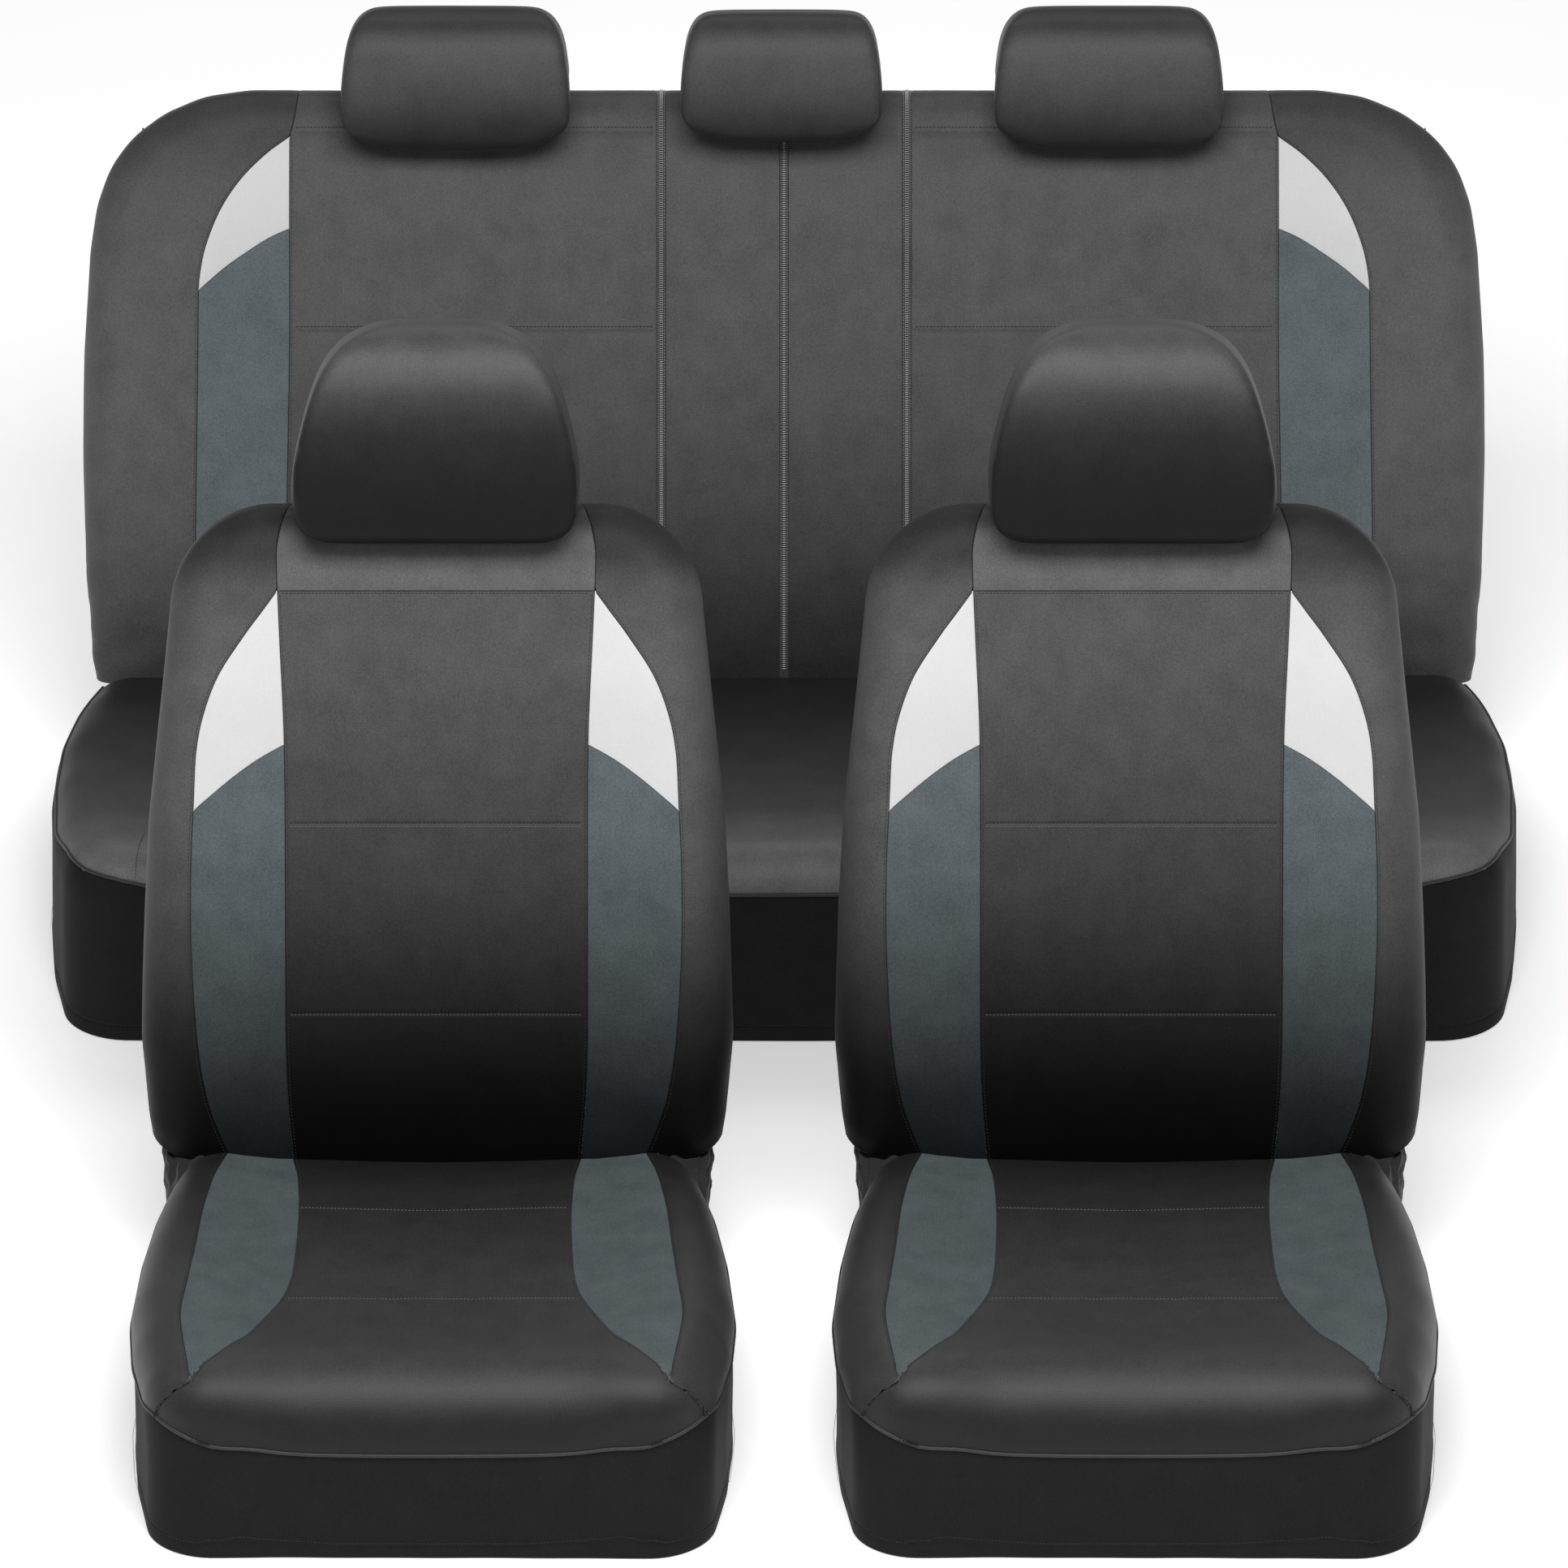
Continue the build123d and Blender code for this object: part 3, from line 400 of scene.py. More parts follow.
def knit(name, base, dark=0.70, rough=0.5, spec=0.4, sheen=0.25, sheen_rough=0.45, pitch=1.1, bump=0.16, fade=None, uv=True):
    """Fine satin knit: tiny ribs and cross rows, with a soft mottled colour. Given a fade ramp, the colour is also
    multiplied along the cloth's UV height, which paints shade (ramp values below 1) and highlights (ramp values above
    1) into it.
    """
    m, nt, p = material(name)
    N, L = nt.nodes, nt.links
    tc = N.new("ShaderNodeTexCoord")
    mp = N.new("ShaderNodeMapping")
    L.new(tc.outputs["UV" if uv else "Object"], mp.inputs[0])
    k = 1.0 / (pitch * MM)

    def wave(direction, scale, distort):
        w = N.new("ShaderNodeTexWave")
        w.wave_type = "BANDS"
        w.bands_direction = direction
        w.inputs["Scale"].default_value = scale * k / 20.0 * math.pi
        w.inputs["Distortion"].default_value = distort
        w.inputs["Detail"].default_value = 1.0
        w.inputs["Detail Scale"].default_value = 2.0
        L.new(mp.outputs[0], w.inputs[0])
        return w
    wx, wy = wave("X", 1.0, 0.6), wave("Y", 1.45, 0.8)
    mul = N.new("ShaderNodeMath")
    mul.operation = "MULTIPLY"
    L.new(wx.outputs[1], mul.inputs[0])
    L.new(wy.outputs[1], mul.inputs[1])
    fine = N.new("ShaderNodeTexNoise")
    fine.inputs["Scale"].default_value = 620
    fine.inputs["Detail"].default_value = 4
    fine.inputs["Roughness"].default_value = 0.7
    L.new(tc.outputs["Object"], fine.inputs[0])
    broad = N.new("ShaderNodeTexNoise")
    broad.inputs["Scale"].default_value = 30
    broad.inputs["Detail"].default_value = 7
    broad.inputs["Roughness"].default_value = 0.62
    L.new(tc.outputs["Object"], broad.inputs[0])
    tint = N.new("ShaderNodeMix")
    tint.data_type = "RGBA"
    tint.inputs["A"].default_value = (*[c * dark for c in base], 1)
    tint.inputs["B"].default_value = (*[min(1, c * (2 - dark)) for c in base], 1)
    add = N.new("ShaderNodeMath")
    add.operation = "MULTIPLY_ADD"
    L.new(fine.outputs[0], add.inputs[0])
    add.inputs[1].default_value = 2.1
    mm = N.new("ShaderNodeMath")
    mm.operation = "MULTIPLY_ADD"
    L.new(broad.outputs[0], mm.inputs[0])
    mm.inputs[1].default_value = 1.1
    mm.inputs[2].default_value = -1.16
    L.new(mm.outputs[0], add.inputs[2])
    add2 = N.new("ShaderNodeMath")
    add2.operation = "MULTIPLY_ADD"
    L.new(mul.outputs[0], add2.inputs[0])
    add2.inputs[1].default_value = 0.22
    L.new(add.outputs[0], add2.inputs[2])
    L.new(add2.outputs[0], tint.inputs["Factor"])
    # painted light: the base colour is scaled by a ramp on UV.y, painted shade where the ramp is below 1 and painted
    # highlight where it is above 1
    if fade:
        sp = N.new("ShaderNodeSeparateXYZ")
        L.new(tc.outputs["UV"], sp.inputs[0])
        fr = N.new("ShaderNodeMapRange")
        lo, hi = fade[0][0], fade[-1][0]
        fr.inputs["From Min"].default_value, fr.inputs["From Max"].default_value = lo, hi
        L.new(sp.outputs[1], fr.inputs[0])
        painted_light_ramp = N.new("ShaderNodeValToRGB")
        painted_light_ramp.color_ramp.interpolation = "B_SPLINE"
        el = painted_light_ramp.color_ramp.elements
        for i, (pos, val) in enumerate(fade):
            e = el[i] if i < 2 else el.new(1.0)
            e.position = (pos - lo) / (hi - lo)
            e.color = (val, val, val, 1)
        L.new(fr.outputs[0], painted_light_ramp.inputs[0])
        painted_light_colour = N.new("ShaderNodeVectorMath")
        painted_light_colour.operation = "MULTIPLY"
        L.new(tint.outputs["Result"], painted_light_colour.inputs[0])
        L.new(painted_light_ramp.outputs[0], painted_light_colour.inputs[1])
        L.new(painted_light_colour.outputs[0], p.inputs["Base Color"])
    else:
        L.new(tint.outputs["Result"], p.inputs["Base Color"])
    hsum = N.new("ShaderNodeMath")
    hsum.operation = "MULTIPLY_ADD"
    L.new(mul.outputs[0], hsum.inputs[0])
    hsum.inputs[1].default_value = 0.7
    L.new(fine.outputs[0], hsum.inputs[2])
    b = N.new("ShaderNodeBump")
    b.inputs["Strength"].default_value = bump
    b.inputs["Distance"].default_value = 0.0005
    L.new(hsum.outputs[0], b.inputs["Height"])
    L.new(b.outputs[0], p.inputs["Normal"])
    rr = N.new("ShaderNodeMapRange")
    rr.inputs["To Min"].default_value = rough - 0.05
    rr.inputs["To Max"].default_value = rough + 0.06
    L.new(broad.outputs[0], rr.inputs[0])
    L.new(rr.outputs[0], p.inputs["Roughness"])
    p.inputs["Specular IOR Level"].default_value = spec
    p.inputs["Sheen Weight"].default_value = sheen
    p.inputs["Sheen Roughness"].default_value = sheen_rough
    p.inputs["Sheen Tint"].default_value = (0.8, 0.8, 0.82, 1)
    return m


def plain(name, base, rough, metal=0.0, spec=0.5, scale=400, bump=0.1, vary=0.2):
    m, nt, p = material(name)
    N, L = nt.nodes, nt.links
    tc = N.new("ShaderNodeTexCoord")
    no = N.new("ShaderNodeTexNoise")
    no.inputs["Scale"].default_value = scale
    no.inputs["Detail"].default_value = 3
    L.new(tc.outputs["Object"], no.inputs[0])
    mix = N.new("ShaderNodeMix")
    mix.data_type = "RGBA"
    mix.inputs["A"].default_value = (*[c * (1 - vary) for c in base], 1)
    mix.inputs["B"].default_value = (*[min(1, c * (1 + vary)) for c in base], 1)
    L.new(no.outputs[0], mix.inputs["Factor"])
    L.new(mix.outputs["Result"], p.inputs["Base Color"])
    b = N.new("ShaderNodeBump")
    b.inputs["Strength"].default_value = bump
    b.inputs["Distance"].default_value = 0.0004
    L.new(no.outputs[0], b.inputs["Height"])
    L.new(b.outputs[0], p.inputs["Normal"])
    rr = N.new("ShaderNodeMapRange")
    rr.inputs["To Min"].default_value = max(0.02, rough - 0.06)
    rr.inputs["To Max"].default_value = rough + 0.06
    L.new(no.outputs[0], rr.inputs[0])
    L.new(rr.outputs[0], p.inputs["Roughness"])
    p.inputs["Metallic"].default_value = metal
    p.inputs["Specular IOR Level"].default_value = spec
    return m


CHARCOAL = knit("charcoal_satin_knit", (0.030, 0.030, 0.031), rough=0.5, spec=0.27, sheen=0.04)
# painted light: the fade ramp along UV.y darkens the cushion top towards the rear crease and down the front face
# (painted shade) and lifts it above 1 on the front roll (painted highlight)
SEAT_CLOTH = knit("charcoal_seat_knit_painted_shade_and_highlight", (0.034, 0.034, 0.035), rough=0.5, spec=0.27, sheen=0.04,
                  fade=((-0.48, 0.10), (-0.40, 0.45), (-0.28, 0.8), (-0.12, 1.3), (-0.05, 1.35), (-0.01, 0.7), (0.02, 0.2), (0.05, 0.12)))
# painted light: a raised base colour with a fade ramp along UV.y, painted shade towards the rear crease and down the
# front face, painted highlight on the front roll
BENCH_SEAT_CLOTH = knit("charcoal_bench_seat_knit_painted_shade_and_highlight", (0.145, 0.145, 0.146), rough=0.5, spec=0.27, sheen=0.04,
                        fade=((-0.48, 0.03), (-0.38, 0.08), (-0.25, 0.18), (-0.12, 0.36), (-0.05, 0.75), (-0.01, 1.0), (0.02, 0.8), (0.05, 0.25)))
# painted shade: the fade ramp along UV.y darkens the back towards the bottom crease and over the top edge
BACK_CLOTH = knit("charcoal_back_knit_painted_shade", (0.074, 0.074, 0.075), rough=0.55, spec=0.10, sheen=0.02,
                  fade=((-0.03, 0.01), (0.05, 0.02), (0.11, 0.09), (0.17, 0.24), (0.245, 0.48), (0.358, 0.78), (0.443, 0.98), (0.52, 1.0), (0.55, 0.7), (0.60, 0.35)))
# painted shade: a copy of the back cloth with its own fade ramp along UV.y, darker towards the bottom crease and over
# the top edge
BACK_SIDE = knit("charcoal_back_side_knit_painted_shade", (0.088, 0.088, 0.089), rough=0.55, spec=0.10, sheen=0.02,
                 fade=((-0.03, 0.01), (0.05, 0.03), (0.11, 0.12), (0.17, 0.35), (0.245, 0.72), (0.358, 0.95), (0.443, 0.95), (0.52, 0.85), (0.55, 0.35), (0.60, 0.2)))
# painted shade: the fade ramp along UV.y darkens the yoke over the top edge
YOKE_CLOTH = knit("charcoal_yoke_knit_painted_shade", (0.100, 0.100, 0.101), rough=0.5, spec=0.2, sheen=0.03,
                  fade=((0.51, 0.85), (0.53, 1.0), (0.56, 0.95), (0.585, 0.35), (0.62, 0.18), (0.65, 0.18)))
# painted shade: the fade ramp along UV.y darkens the bench bolsters towards the bottom, behind the front seats, and
# over the top edge
BENCH_SIDE = knit("charcoal_bench_side_knit_painted_shade", (0.094, 0.094, 0.095), rough=0.55, spec=0.14, sheen=0.03,
                  fade=((-0.03, 0.45), (0.05, 0.65), (0.15, 0.9), (0.28, 1.0), (0.40, 0.95), (0.47, 0.8), (0.54, 0.4), (0.60, 0.3)))
# painted shade: the fade ramp along UV.y darkens the bench back towards the bottom, behind the front seats, and towards
# the top edge
BENCH_CLOTH = knit("charcoal_bench_knit_painted_shade", (0.088, 0.088, 0.089), rough=0.55, spec=0.16, sheen=0.03,
                   fade=((-0.03, 0.25), (0.05, 0.35), (0.15, 0.6), (0.28, 0.9), (0.40, 1.0), (0.50, 0.9), (0.56, 0.6)))
# painted light: the fade ramp along UV.y (headrest height) puts a painted highlight band near the top and painted shade
# down the lower headrest and on the top edge
REST_CLOTH = knit("charcoal_headrest_knit_painted_shade_and_highlight", (0.068, 0.068, 0.069), rough=0.48, spec=0.2, sheen=0.03,
                  fade=((0.56, 0.03), (0.62, 0.08), (0.67, 0.2), (0.705, 0.5), (0.73, 0.95), (0.75, 1.0), (0.772, 0.75)))
# painted light: the fade ramp along UV.y gives a lit middle band with painted shade below and above it
BENCH_REST_CLOTH = knit("charcoal_rear_rest_knit_painted_shade", (0.062, 0.062, 0.063), rough=0.5, spec=0.22, sheen=0.03,
                        fade=((0.50, 0.2), (0.53, 0.45), (0.57, 0.9), (0.60, 1.0), (0.62, 0.6), (0.64, 0.3)))
GREY = knit("blue_grey_knit", (0.074, 0.089, 0.095), rough=0.6, spec=0.16, sheen=0.04)
# painted shade: the fade ramp along UV.y darkens the grey inserts towards the bottom crease
BACK_GREY = knit("blue_grey_back_knit_painted_shade", (0.096, 0.116, 0.124), rough=0.6, spec=0.10, sheen=0.04,
                 fade=((-0.03, 0.06), (0.03, 0.13), (0.09, 0.27), (0.16, 0.50), (0.245, 0.75), (0.34, 0.97), (0.42, 1.0)))
BENCH_GREY = knit("blue_grey_bench_knit", (0.098, 0.118, 0.126), rough=0.6, spec=0.14, sheen=0.04)
WHITE = knit("white_knit", (0.60, 0.60, 0.605), dark=0.96, rough=0.55, spec=0.3, sheen=0.1)
BACKING = knit("backing_knit", (0.022, 0.022, 0.023), rough=0.75, spec=0.2, sheen=0.15, pitch=1.6)
# painted shade: the skirt cloth's base colour is set far darker than the charcoal top cloth it matches, to keep it dark
# under the floor's bounce light
SKIRT = knit("skirt_knit_painted_shade", (0.0105, 0.0105, 0.011), rough=0.7, spec=0.10, sheen=0.02)
ELASTIC = knit("elastic", (0.03, 0.03, 0.03), rough=0.7, spec=0.2, sheen=0.1, pitch=2.2, bump=0.4)
TAPE = knit("zip_tape", (0.045, 0.045, 0.047), rough=0.6, spec=0.3, sheen=0.2, pitch=0.8)
TEETH = plain("zip_teeth", (0.34, 0.34, 0.35), 0.4, spec=0.5)
THREAD = plain("dark_thread", (0.012, 0.012, 0.013), 0.6)
THREAD_LIGHT = plain("grey_thread", (0.12, 0.12, 0.125), 0.5)
THREAD_WHITE = plain("white_thread", (0.62, 0.62, 0.62), 0.5)
METAL = plain("black_zip_metal", (0.03, 0.03, 0.032), 0.32, metal=0.9)
STEEL = plain("hook_steel", (0.55, 0.55, 0.56), 0.28, metal=1.0, vary=0.06)
PLASTIC = plain("buckle_plastic", (0.018, 0.018, 0.018), 0.42, spec=0.45)
WEB = knit("webbing", (0.02, 0.02, 0.021), rough=0.6, spec=0.3, sheen=0.1, pitch=2.4, bump=0.6)


# ------------------------------------------------------------------ seams and threads
def curve(points, step=2.0):
    """Smooth dense line through points."""
    p = np.asarray(points, float)
    if len(p) < 3:
        return resample(p, step=step)
    q = np.concatenate([[2 * p[0] - p[1]], p, [2 * p[-1] - p[-2]]])
    out = []
    for i in range(1, len(q) - 2):
        p0, p1, p2, p3 = q[i - 1], q[i], q[i + 1], q[i + 2]
        k = max(2, int(np.linalg.norm(p2 - p1) / step))
        t = np.linspace(0, 1, k, endpoint=False)[:, None]
        m1, m2 = (p2 - p0) / 2, (p3 - p1) / 2
        out.append((2 * t ** 3 - 3 * t ** 2 + 1) * p1 + (t ** 3 - 2 * t ** 2 + t) * m1 + (-2 * t ** 3 + 3 * t ** 2) * p2 + (t ** 3 - t ** 2) * m2)
    out.append(p[-1:])
    return resample(np.concatenate(out), step=step)


class Threads:
    """Rows of short stitches gathered into one object."""

    def __init__(self):
        self.v, self.f, self.n = [], [], 0

    def row(self, pts, nrm, pitch=3.4, length=2.4, r=0.32, lift=0.1):
        s = lengths(pts)
        k = int(s[-1] / pitch)
        if k < 1:
            return
        for i in range(k):
            a, b = i * pitch + 0.4, i * pitch + 0.4 + length
            seg = resample(pts, at=np.array([a, (a + b) / 2, b]))
            n = np.array([[np.interp(x, s, nrm[:, c]) for c in range(3)] for x in (a, (a + b) / 2, b)])
            n /= np.linalg.norm(n, axis=1)[:, None]
            t = seg[2] - seg[0]
            t /= max(np.linalg.norm(t), 1e-9)
            side = np.cross(t, n[1])
            lifts = (-0.25 * r, lift + r, -0.25 * r)
            rs = (0.45 * r, r, 0.45 * r)
            base = self.n
            for j in range(3):
                c = seg[j] + n[j] * lifts[j]
                for q in range(5):
                    an = q * 2 * math.pi / 5
                    self.v.append(c + (side * math.cos(an) + n[j] * math.sin(an)) * rs[j])
            for j in range(2):
                for q in range(5):
                    self.f.append((base + j * 5 + q, base + j * 5 + (q + 1) % 5, base + (j + 1) * 5 + (q + 1) % 5, base + (j + 1) * 5 + q))
            self.f.append(tuple(base + q for q in range(4, -1, -1)))
            self.f.append(tuple(base + 10 + q for q in range(5)))
            self.n += 15

    def build(self, name, place, mat, body, slot, mirror=False):
        v = np.array(self.v)
        f = self.f
        if mirror:
            v = v * [-1, 1, 1]
        ob = new_object(name, place(v), f, None, [mat])
        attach(ob, body)
        return ob


def on_shell(shell, U, flip=False, depth=0.0):
    """Points and outward normals of a line drawn on the cloth."""
    U = np.asarray(U, float)
    P = shell.at(U)
    eps = 0.5
    Px = shell.at(U + [eps, 0]) - P
    Py = shell.at(U + [0, eps]) - P
    n = np.cross(Px, Py)
    ln = np.linalg.norm(n, axis=1)
    good = ln > 1e-6
    n[good] /= ln[good][:, None]
    if not good.all():
        idx = np.arange(len(n))
        near = idx[good][np.abs(idx[:, None] - idx[good][None]).argmin(1)]
        n = n[near]
    return P, n


def cloth_lift(patch, U):
    """How far the sewn cloth stands off its shell at points of the cloth."""
    G, D = patch[3].reshape(-1, 2), patch[2].ravel()
    out = np.empty(len(U))
    for i in range(0, len(U), 400):
        u = U[i:i + 400]
        out[i:i + 400] = D[((u[:, None, :] - G[None]) ** 2).sum(2).argmin(1)]
    return out


# ================================================================== FRONT SEATS
SEAT_X = 320.0
BACK_HALF = [(262, 0), (273, 95), (269, 225), (264.5, 310), (253, 419), (245.5, 490), (237, 592), (0, 592)]
BACK_RADII = [0, 250, 400, 300, 400, 300, 96, 0]
T_BACK = 112.0


def back_crown(U):
    x, w = np.abs(U[:, 0]), U[:, 1]
    n = 8.0 * smooth(105, 215, x) * smooth(-20, 90, w) * (1 - smooth(400, 520, w))
    n += 7.0 * np.exp(-((w - 215) / 115) ** 2) * (1 - 0.4 * smooth(120, 230, x))
    n -= 15.0 * smooth(420, 575, w)
    t = np.clip((125 - w) / 125, 0, 1.3)
    n -= 17.0 * t ** 2
    return n


def rear_crown(U):
    x, w = np.abs(U[:, 0]), U[:, 1]
    return 6.0 * (1 - (x / 260) ** 2) * smooth(20, 200, w) * (1 - smooth(430, 560, w)) - 3.0 * np.exp(-((w - 150) / 60) ** 2)


front_back = Shell(rounded(BACK_HALF, BACK_RADII), 42.0, T_BACK - 84.0, 42.0, back_crown)
front_rear = Shell(rounded(BACK_HALF, BACK_RADII), 42.0, T_BACK - 84.0, 42.0, rear_crown)
TOTAL = 42 * math.pi / 2 * 2 + T_BACK - 84
SEAM_E = 42 * math.pi / 2 + 34.0

INNER = curve([(131, -26), (133, -5), (137, 44), (138.6, 90), (139, 132), (139, 295), (139.7, 378), (141, 419), (143.6, 470), (146, 519)])
OUTER = curve([
    (183, -26), (193.5, -5), (202, 16), (211, 44), (218, 81), (223, 132), (226, 202), (225.6, 272), (223.5, 317),
    (222.6, 341), (220.7, 373), (214.5, 405), (200.6, 442), (177.6, 477), (161, 499), (146, 519),
])
SPLIT = curve([(223.5, 317), (216, 324), (202, 336), (190.5, 345.5), (178, 355), (165.6, 363.6), (154, 370.4), (139.7, 378)])


def cut_at(line, point):
    i = int(((line - np.asarray(point)) ** 2).sum(1).argmin())
    return line[: i + 1], line[i:]


inner_lo, inner_hi = cut_at(INNER, (139.7, 378))
outer_lo, outer_hi = cut_at(OUTER, (223.5, 317))
YOKE_SIDE = front_back.unroll(curve([(146, 519), (146.6, 535), (146.5, 557), (142.5, 579), (137, 591.9)]))
YOKE_SIDE = np.concatenate([YOKE_SIDE, resample(np.array([YOKE_SIDE[-1], (133.0, 550 + SEAM_E)]), step=2.0)[1:]])
off = front_back.offset(SEAM_E)
half_off = off[: len(off) // 2 + 1]
rim = half_off[(half_off[:, 1] > 6) & (half_off[:, 0] > 133.0)]
rim = np.concatenate([rim, [YOKE_SIDE[-1]]])


def line2(a, b):
    return resample(np.array([a, b], float), step=4.0)


M2 = np.array([-1.0, 1.0])
bolster_left = np.concatenate([OUTER, YOKE_SIDE[1:]])
front_panels = {}
front_panels["centre"] = sewn(
    front_back, None, INNER * M2, INNER, line2(INNER[0] * M2, INNER[0]), line2(INNER[-1] * M2, INNER[-1]),
    step=5.5, lines_b=(157.0, 332.5), seed=1, line_span=(3, 3))
front_panels["yoke"] = sewn(
    front_back, None, YOKE_SIDE * M2, YOKE_SIDE, line2(YOKE_SIDE[0] * M2, YOKE_SIDE[0]),
    line2(YOKE_SIDE[-1] * M2, YOKE_SIDE[-1]), step=5.5, seed=2)
front_panels["grey"] = sewn(
    front_back, None, inner_lo, outer_lo, line2(inner_lo[0], outer_lo[0]), SPLIT[::-1], step=5.0, seed=3)
front_panels["white"] = sewn(
    front_back, None, inner_hi, outer_hi, SPLIT[::-1], np.array([OUTER[-1], OUTER[-1]]), step=5.0, seed=4, pucker=0.1)


def bolster_extra(U, P, d):
    w = P[..., 1]
    return 1.2 * wave_noise(P.reshape(-1, 3) * [1, 0.5, 1], 60, 21, 2).reshape(w.shape) * (1 - smooth(30, 150, w)) * smooth(6, 25, d)


front_panels["bolster"] = sewn(
    front_back, None, bolster_left, rim, curve([bolster_left[0], (210, -20), (238, -11), (264, -1), (288, 6), rim[0]]), np.array([rim[-1], rim[-1]]),
    step=6.0, seed=5, extra=bolster_extra)

REAR_E = TOTAL - SEAM_E
roff = front_rear.offset(REAR_E)
mid = len(roff) // 2
rhalf = roff[: mid + 1]
rhalf = rhalf[rhalf[:, 1] > 44]
k = int(np.argmax(rhalf[:, 0] + rhalf[:, 1]))
side_r, top_r = rhalf[: k + 1], rhalf[k:]
top_full = np.concatenate([(top_r * M2), top_r[::-1][1:]])


def gathers(hem, amount=2.6, wave=17.0, seed=5):
    def f(U, P, d):
        dist = np.abs(P[..., 1] - hem)
        ph = P[..., 0] * (2 * math.pi / wave) + 1.3 * wave_noise(P.reshape(-1, 3), 90, seed, 2).reshape(dist.shape)
        return amount * np.sin(ph) * np.exp(-dist / 26.0) - 2.0 * np.exp(-dist / 14.0)
    return f


front_rear_panel = sewn(
    front_rear, None, side_r * M2, side_r, line2(side_r[0] * M2, side_r[0]), top_full,
    step=6.5, seed=6, lines_b=(14.0,), extra=gathers(44.0), roll=1.1)


class Turned:
    """Places rear-face points: the face looks backwards from n = -depth."""

    def __init__(self, place, depth):
        self.p, self.d = place, depth
        self.M = -np.array(place.M)
        self.M[:2] = place.M[:2]

    def __call__(self, q):
        q = np.asarray(q)
        return self.p(np.concatenate([q[..., :2], -self.d - q[..., 2:3]], -1))


def det(place):
    return float(np.linalg.det(place.M)) if not isinstance(place, Turned) else -float(np.linalg.det(place.p.M))


def put(cloth, place, sh, out=(0, 0, 1), sides="r"):
    """Adds a panel patch (right side r, left side l, both rl, or whole w)."""
    P, N, disp, U = sh
    c = N.reshape(-1, 3).mean(0)
    sgn = 1.0 if c @ np.array(out, float) > 0 else -1.0
    Q = P + N * sgn * disp[..., None]
    neg = det(place) < 0
    for m in {"w": (False,), "r": (False,), "l": (True,), "rl": (False, True)}[sides]:
        W = Q * [-1, 1, 1] if m else Q
        UV = U * [-1, 1] if m else U
        cloth.add(place(W), UV, flip=((sgn < 0) != m) != neg)


# ------------------------------------------------------------------ front cushion
CUSH_TOP = 178.6
CUSH_TILT = 2.66
TAN_C = math.tan(math.radians(CUSH_TILT))
SEAT_HALF = [(241, -471), (256, -395), (267, -310), (275, -200), (271, -120), (252, 0), (0, 0)]
SEAT_RAD = [0, 300, 300, 250, 200, 63, 0]


def seat_radius(full):
    f = smooth(-25, -3, full[:, 1]) * (1 - smooth(120, 215, np.abs(full[:, 0])))
    return 45.0 + 23.0 * f


def seat_crown(U):
    x, v = np.abs(U[:, 0]), -U[:, 1]
    n = 6.0 * smooth(140, 215, x) * smooth(20, 130, v)
    n += 4.0 * np.exp(-((v - 70) / 55) ** 2) * (1 - smooth(150, 260, x))
    n -= 5.0 * np.exp(-(x / 130) ** 2) * smooth(140, 300, v)
    n -= 4.5 * smooth(400, 471, v)
    return n


seat_shell = Shell(rounded(SEAT_HALF, SEAT_RAD), seat_radius, 400.0, 0, seat_crown)


def seam_run(shell, heights, top, tan_tilt):
    """Run over the edge, at every border point, to where the cloth is at a given height."""
    C, N, R, O = shell.C, shell.N, shell.R, shell.outline
    z = heights(O)
    v = -O[:, 1]
    t = z / math.cos(math.atan(tan_tilt)) + v * tan_tilt
    h = np.clip(top - t, 0.5, None)
    q = R * np.arccos(np.clip(1 - h / R, 0, 1))
    return np.where(h < R, q, R * math.pi / 2 + (h - R))


def front_seam_height(O):
    x, v = np.abs(O[:, 0]), -O[:, 1]
    z = 104.3 + 27 * (np.minimum(x, 250) / 247) ** 3.6
    return z - 6 * smooth(28, 75, v) - 4 * smooth(75, 150, v)


def floor_height(O):
    return np.full(len(O), 0.6)


seat_e = seam_run(seat_shell, front_seam_height, CUSH_TOP, TAN_C)
kk = np.ones(15) / 15
seat_e = np.convolve(np.pad(seat_e, 7, mode="edge"), kk, "valid")
seat_seam = seat_shell.C + seat_shell.N * seat_e[:, None]
seat_floor_e = seam_run(seat_shell, floor_height, CUSH_TOP, TAN_C)
seat_floor = seat_shell.C + seat_shell.N * seat_floor_e[:, None]
n_half = len(seat_seam) // 2
right_seam = seat_seam[: n_half + 1]
keep = seat_shell.outline[: n_half + 1, 1] > -471
right_seam = right_seam[keep]
right_out = seat_shell.outline[: n_half + 1][keep]
corner = int(((right_out - [247, -26]) ** 2).sum(1).argmin())
side_seam, front_half = right_seam[: corner + 1], right_seam[corner:]
front_seam = np.concatenate([front_half * M2, front_half[::-1][1:]])
TIP = (217.0, -20.0)
S_IN = curve([(132.5, -471), (127.6, -431), (125, -369), (125, -317), (127, -248), (130, -207), (136, -175.5),
              (150, -134.5), (165, -94), (178.5, -75), (197, -50), TIP])
S_OUT = curve([(193.5, -471), (202.5, -426), (212, -352), (218, -269), (224.5, -187), (228, -139), (226, -96), TIP])
S_IN_U, S_OUT_U = seat_shell.unroll(S_IN), seat_shell.unroll(S_OUT)
tip_u = S_IN_U[-1]
S_OUT_U[-1] = tip_u
corner_line = resample(np.array([tip_u, side_seam[-1]]), step=2.0)
c_rail = np.concatenate([S_IN_U, corner_line[1:]])
b_rail = np.concatenate([S_OUT_U, corner_line[1:]])
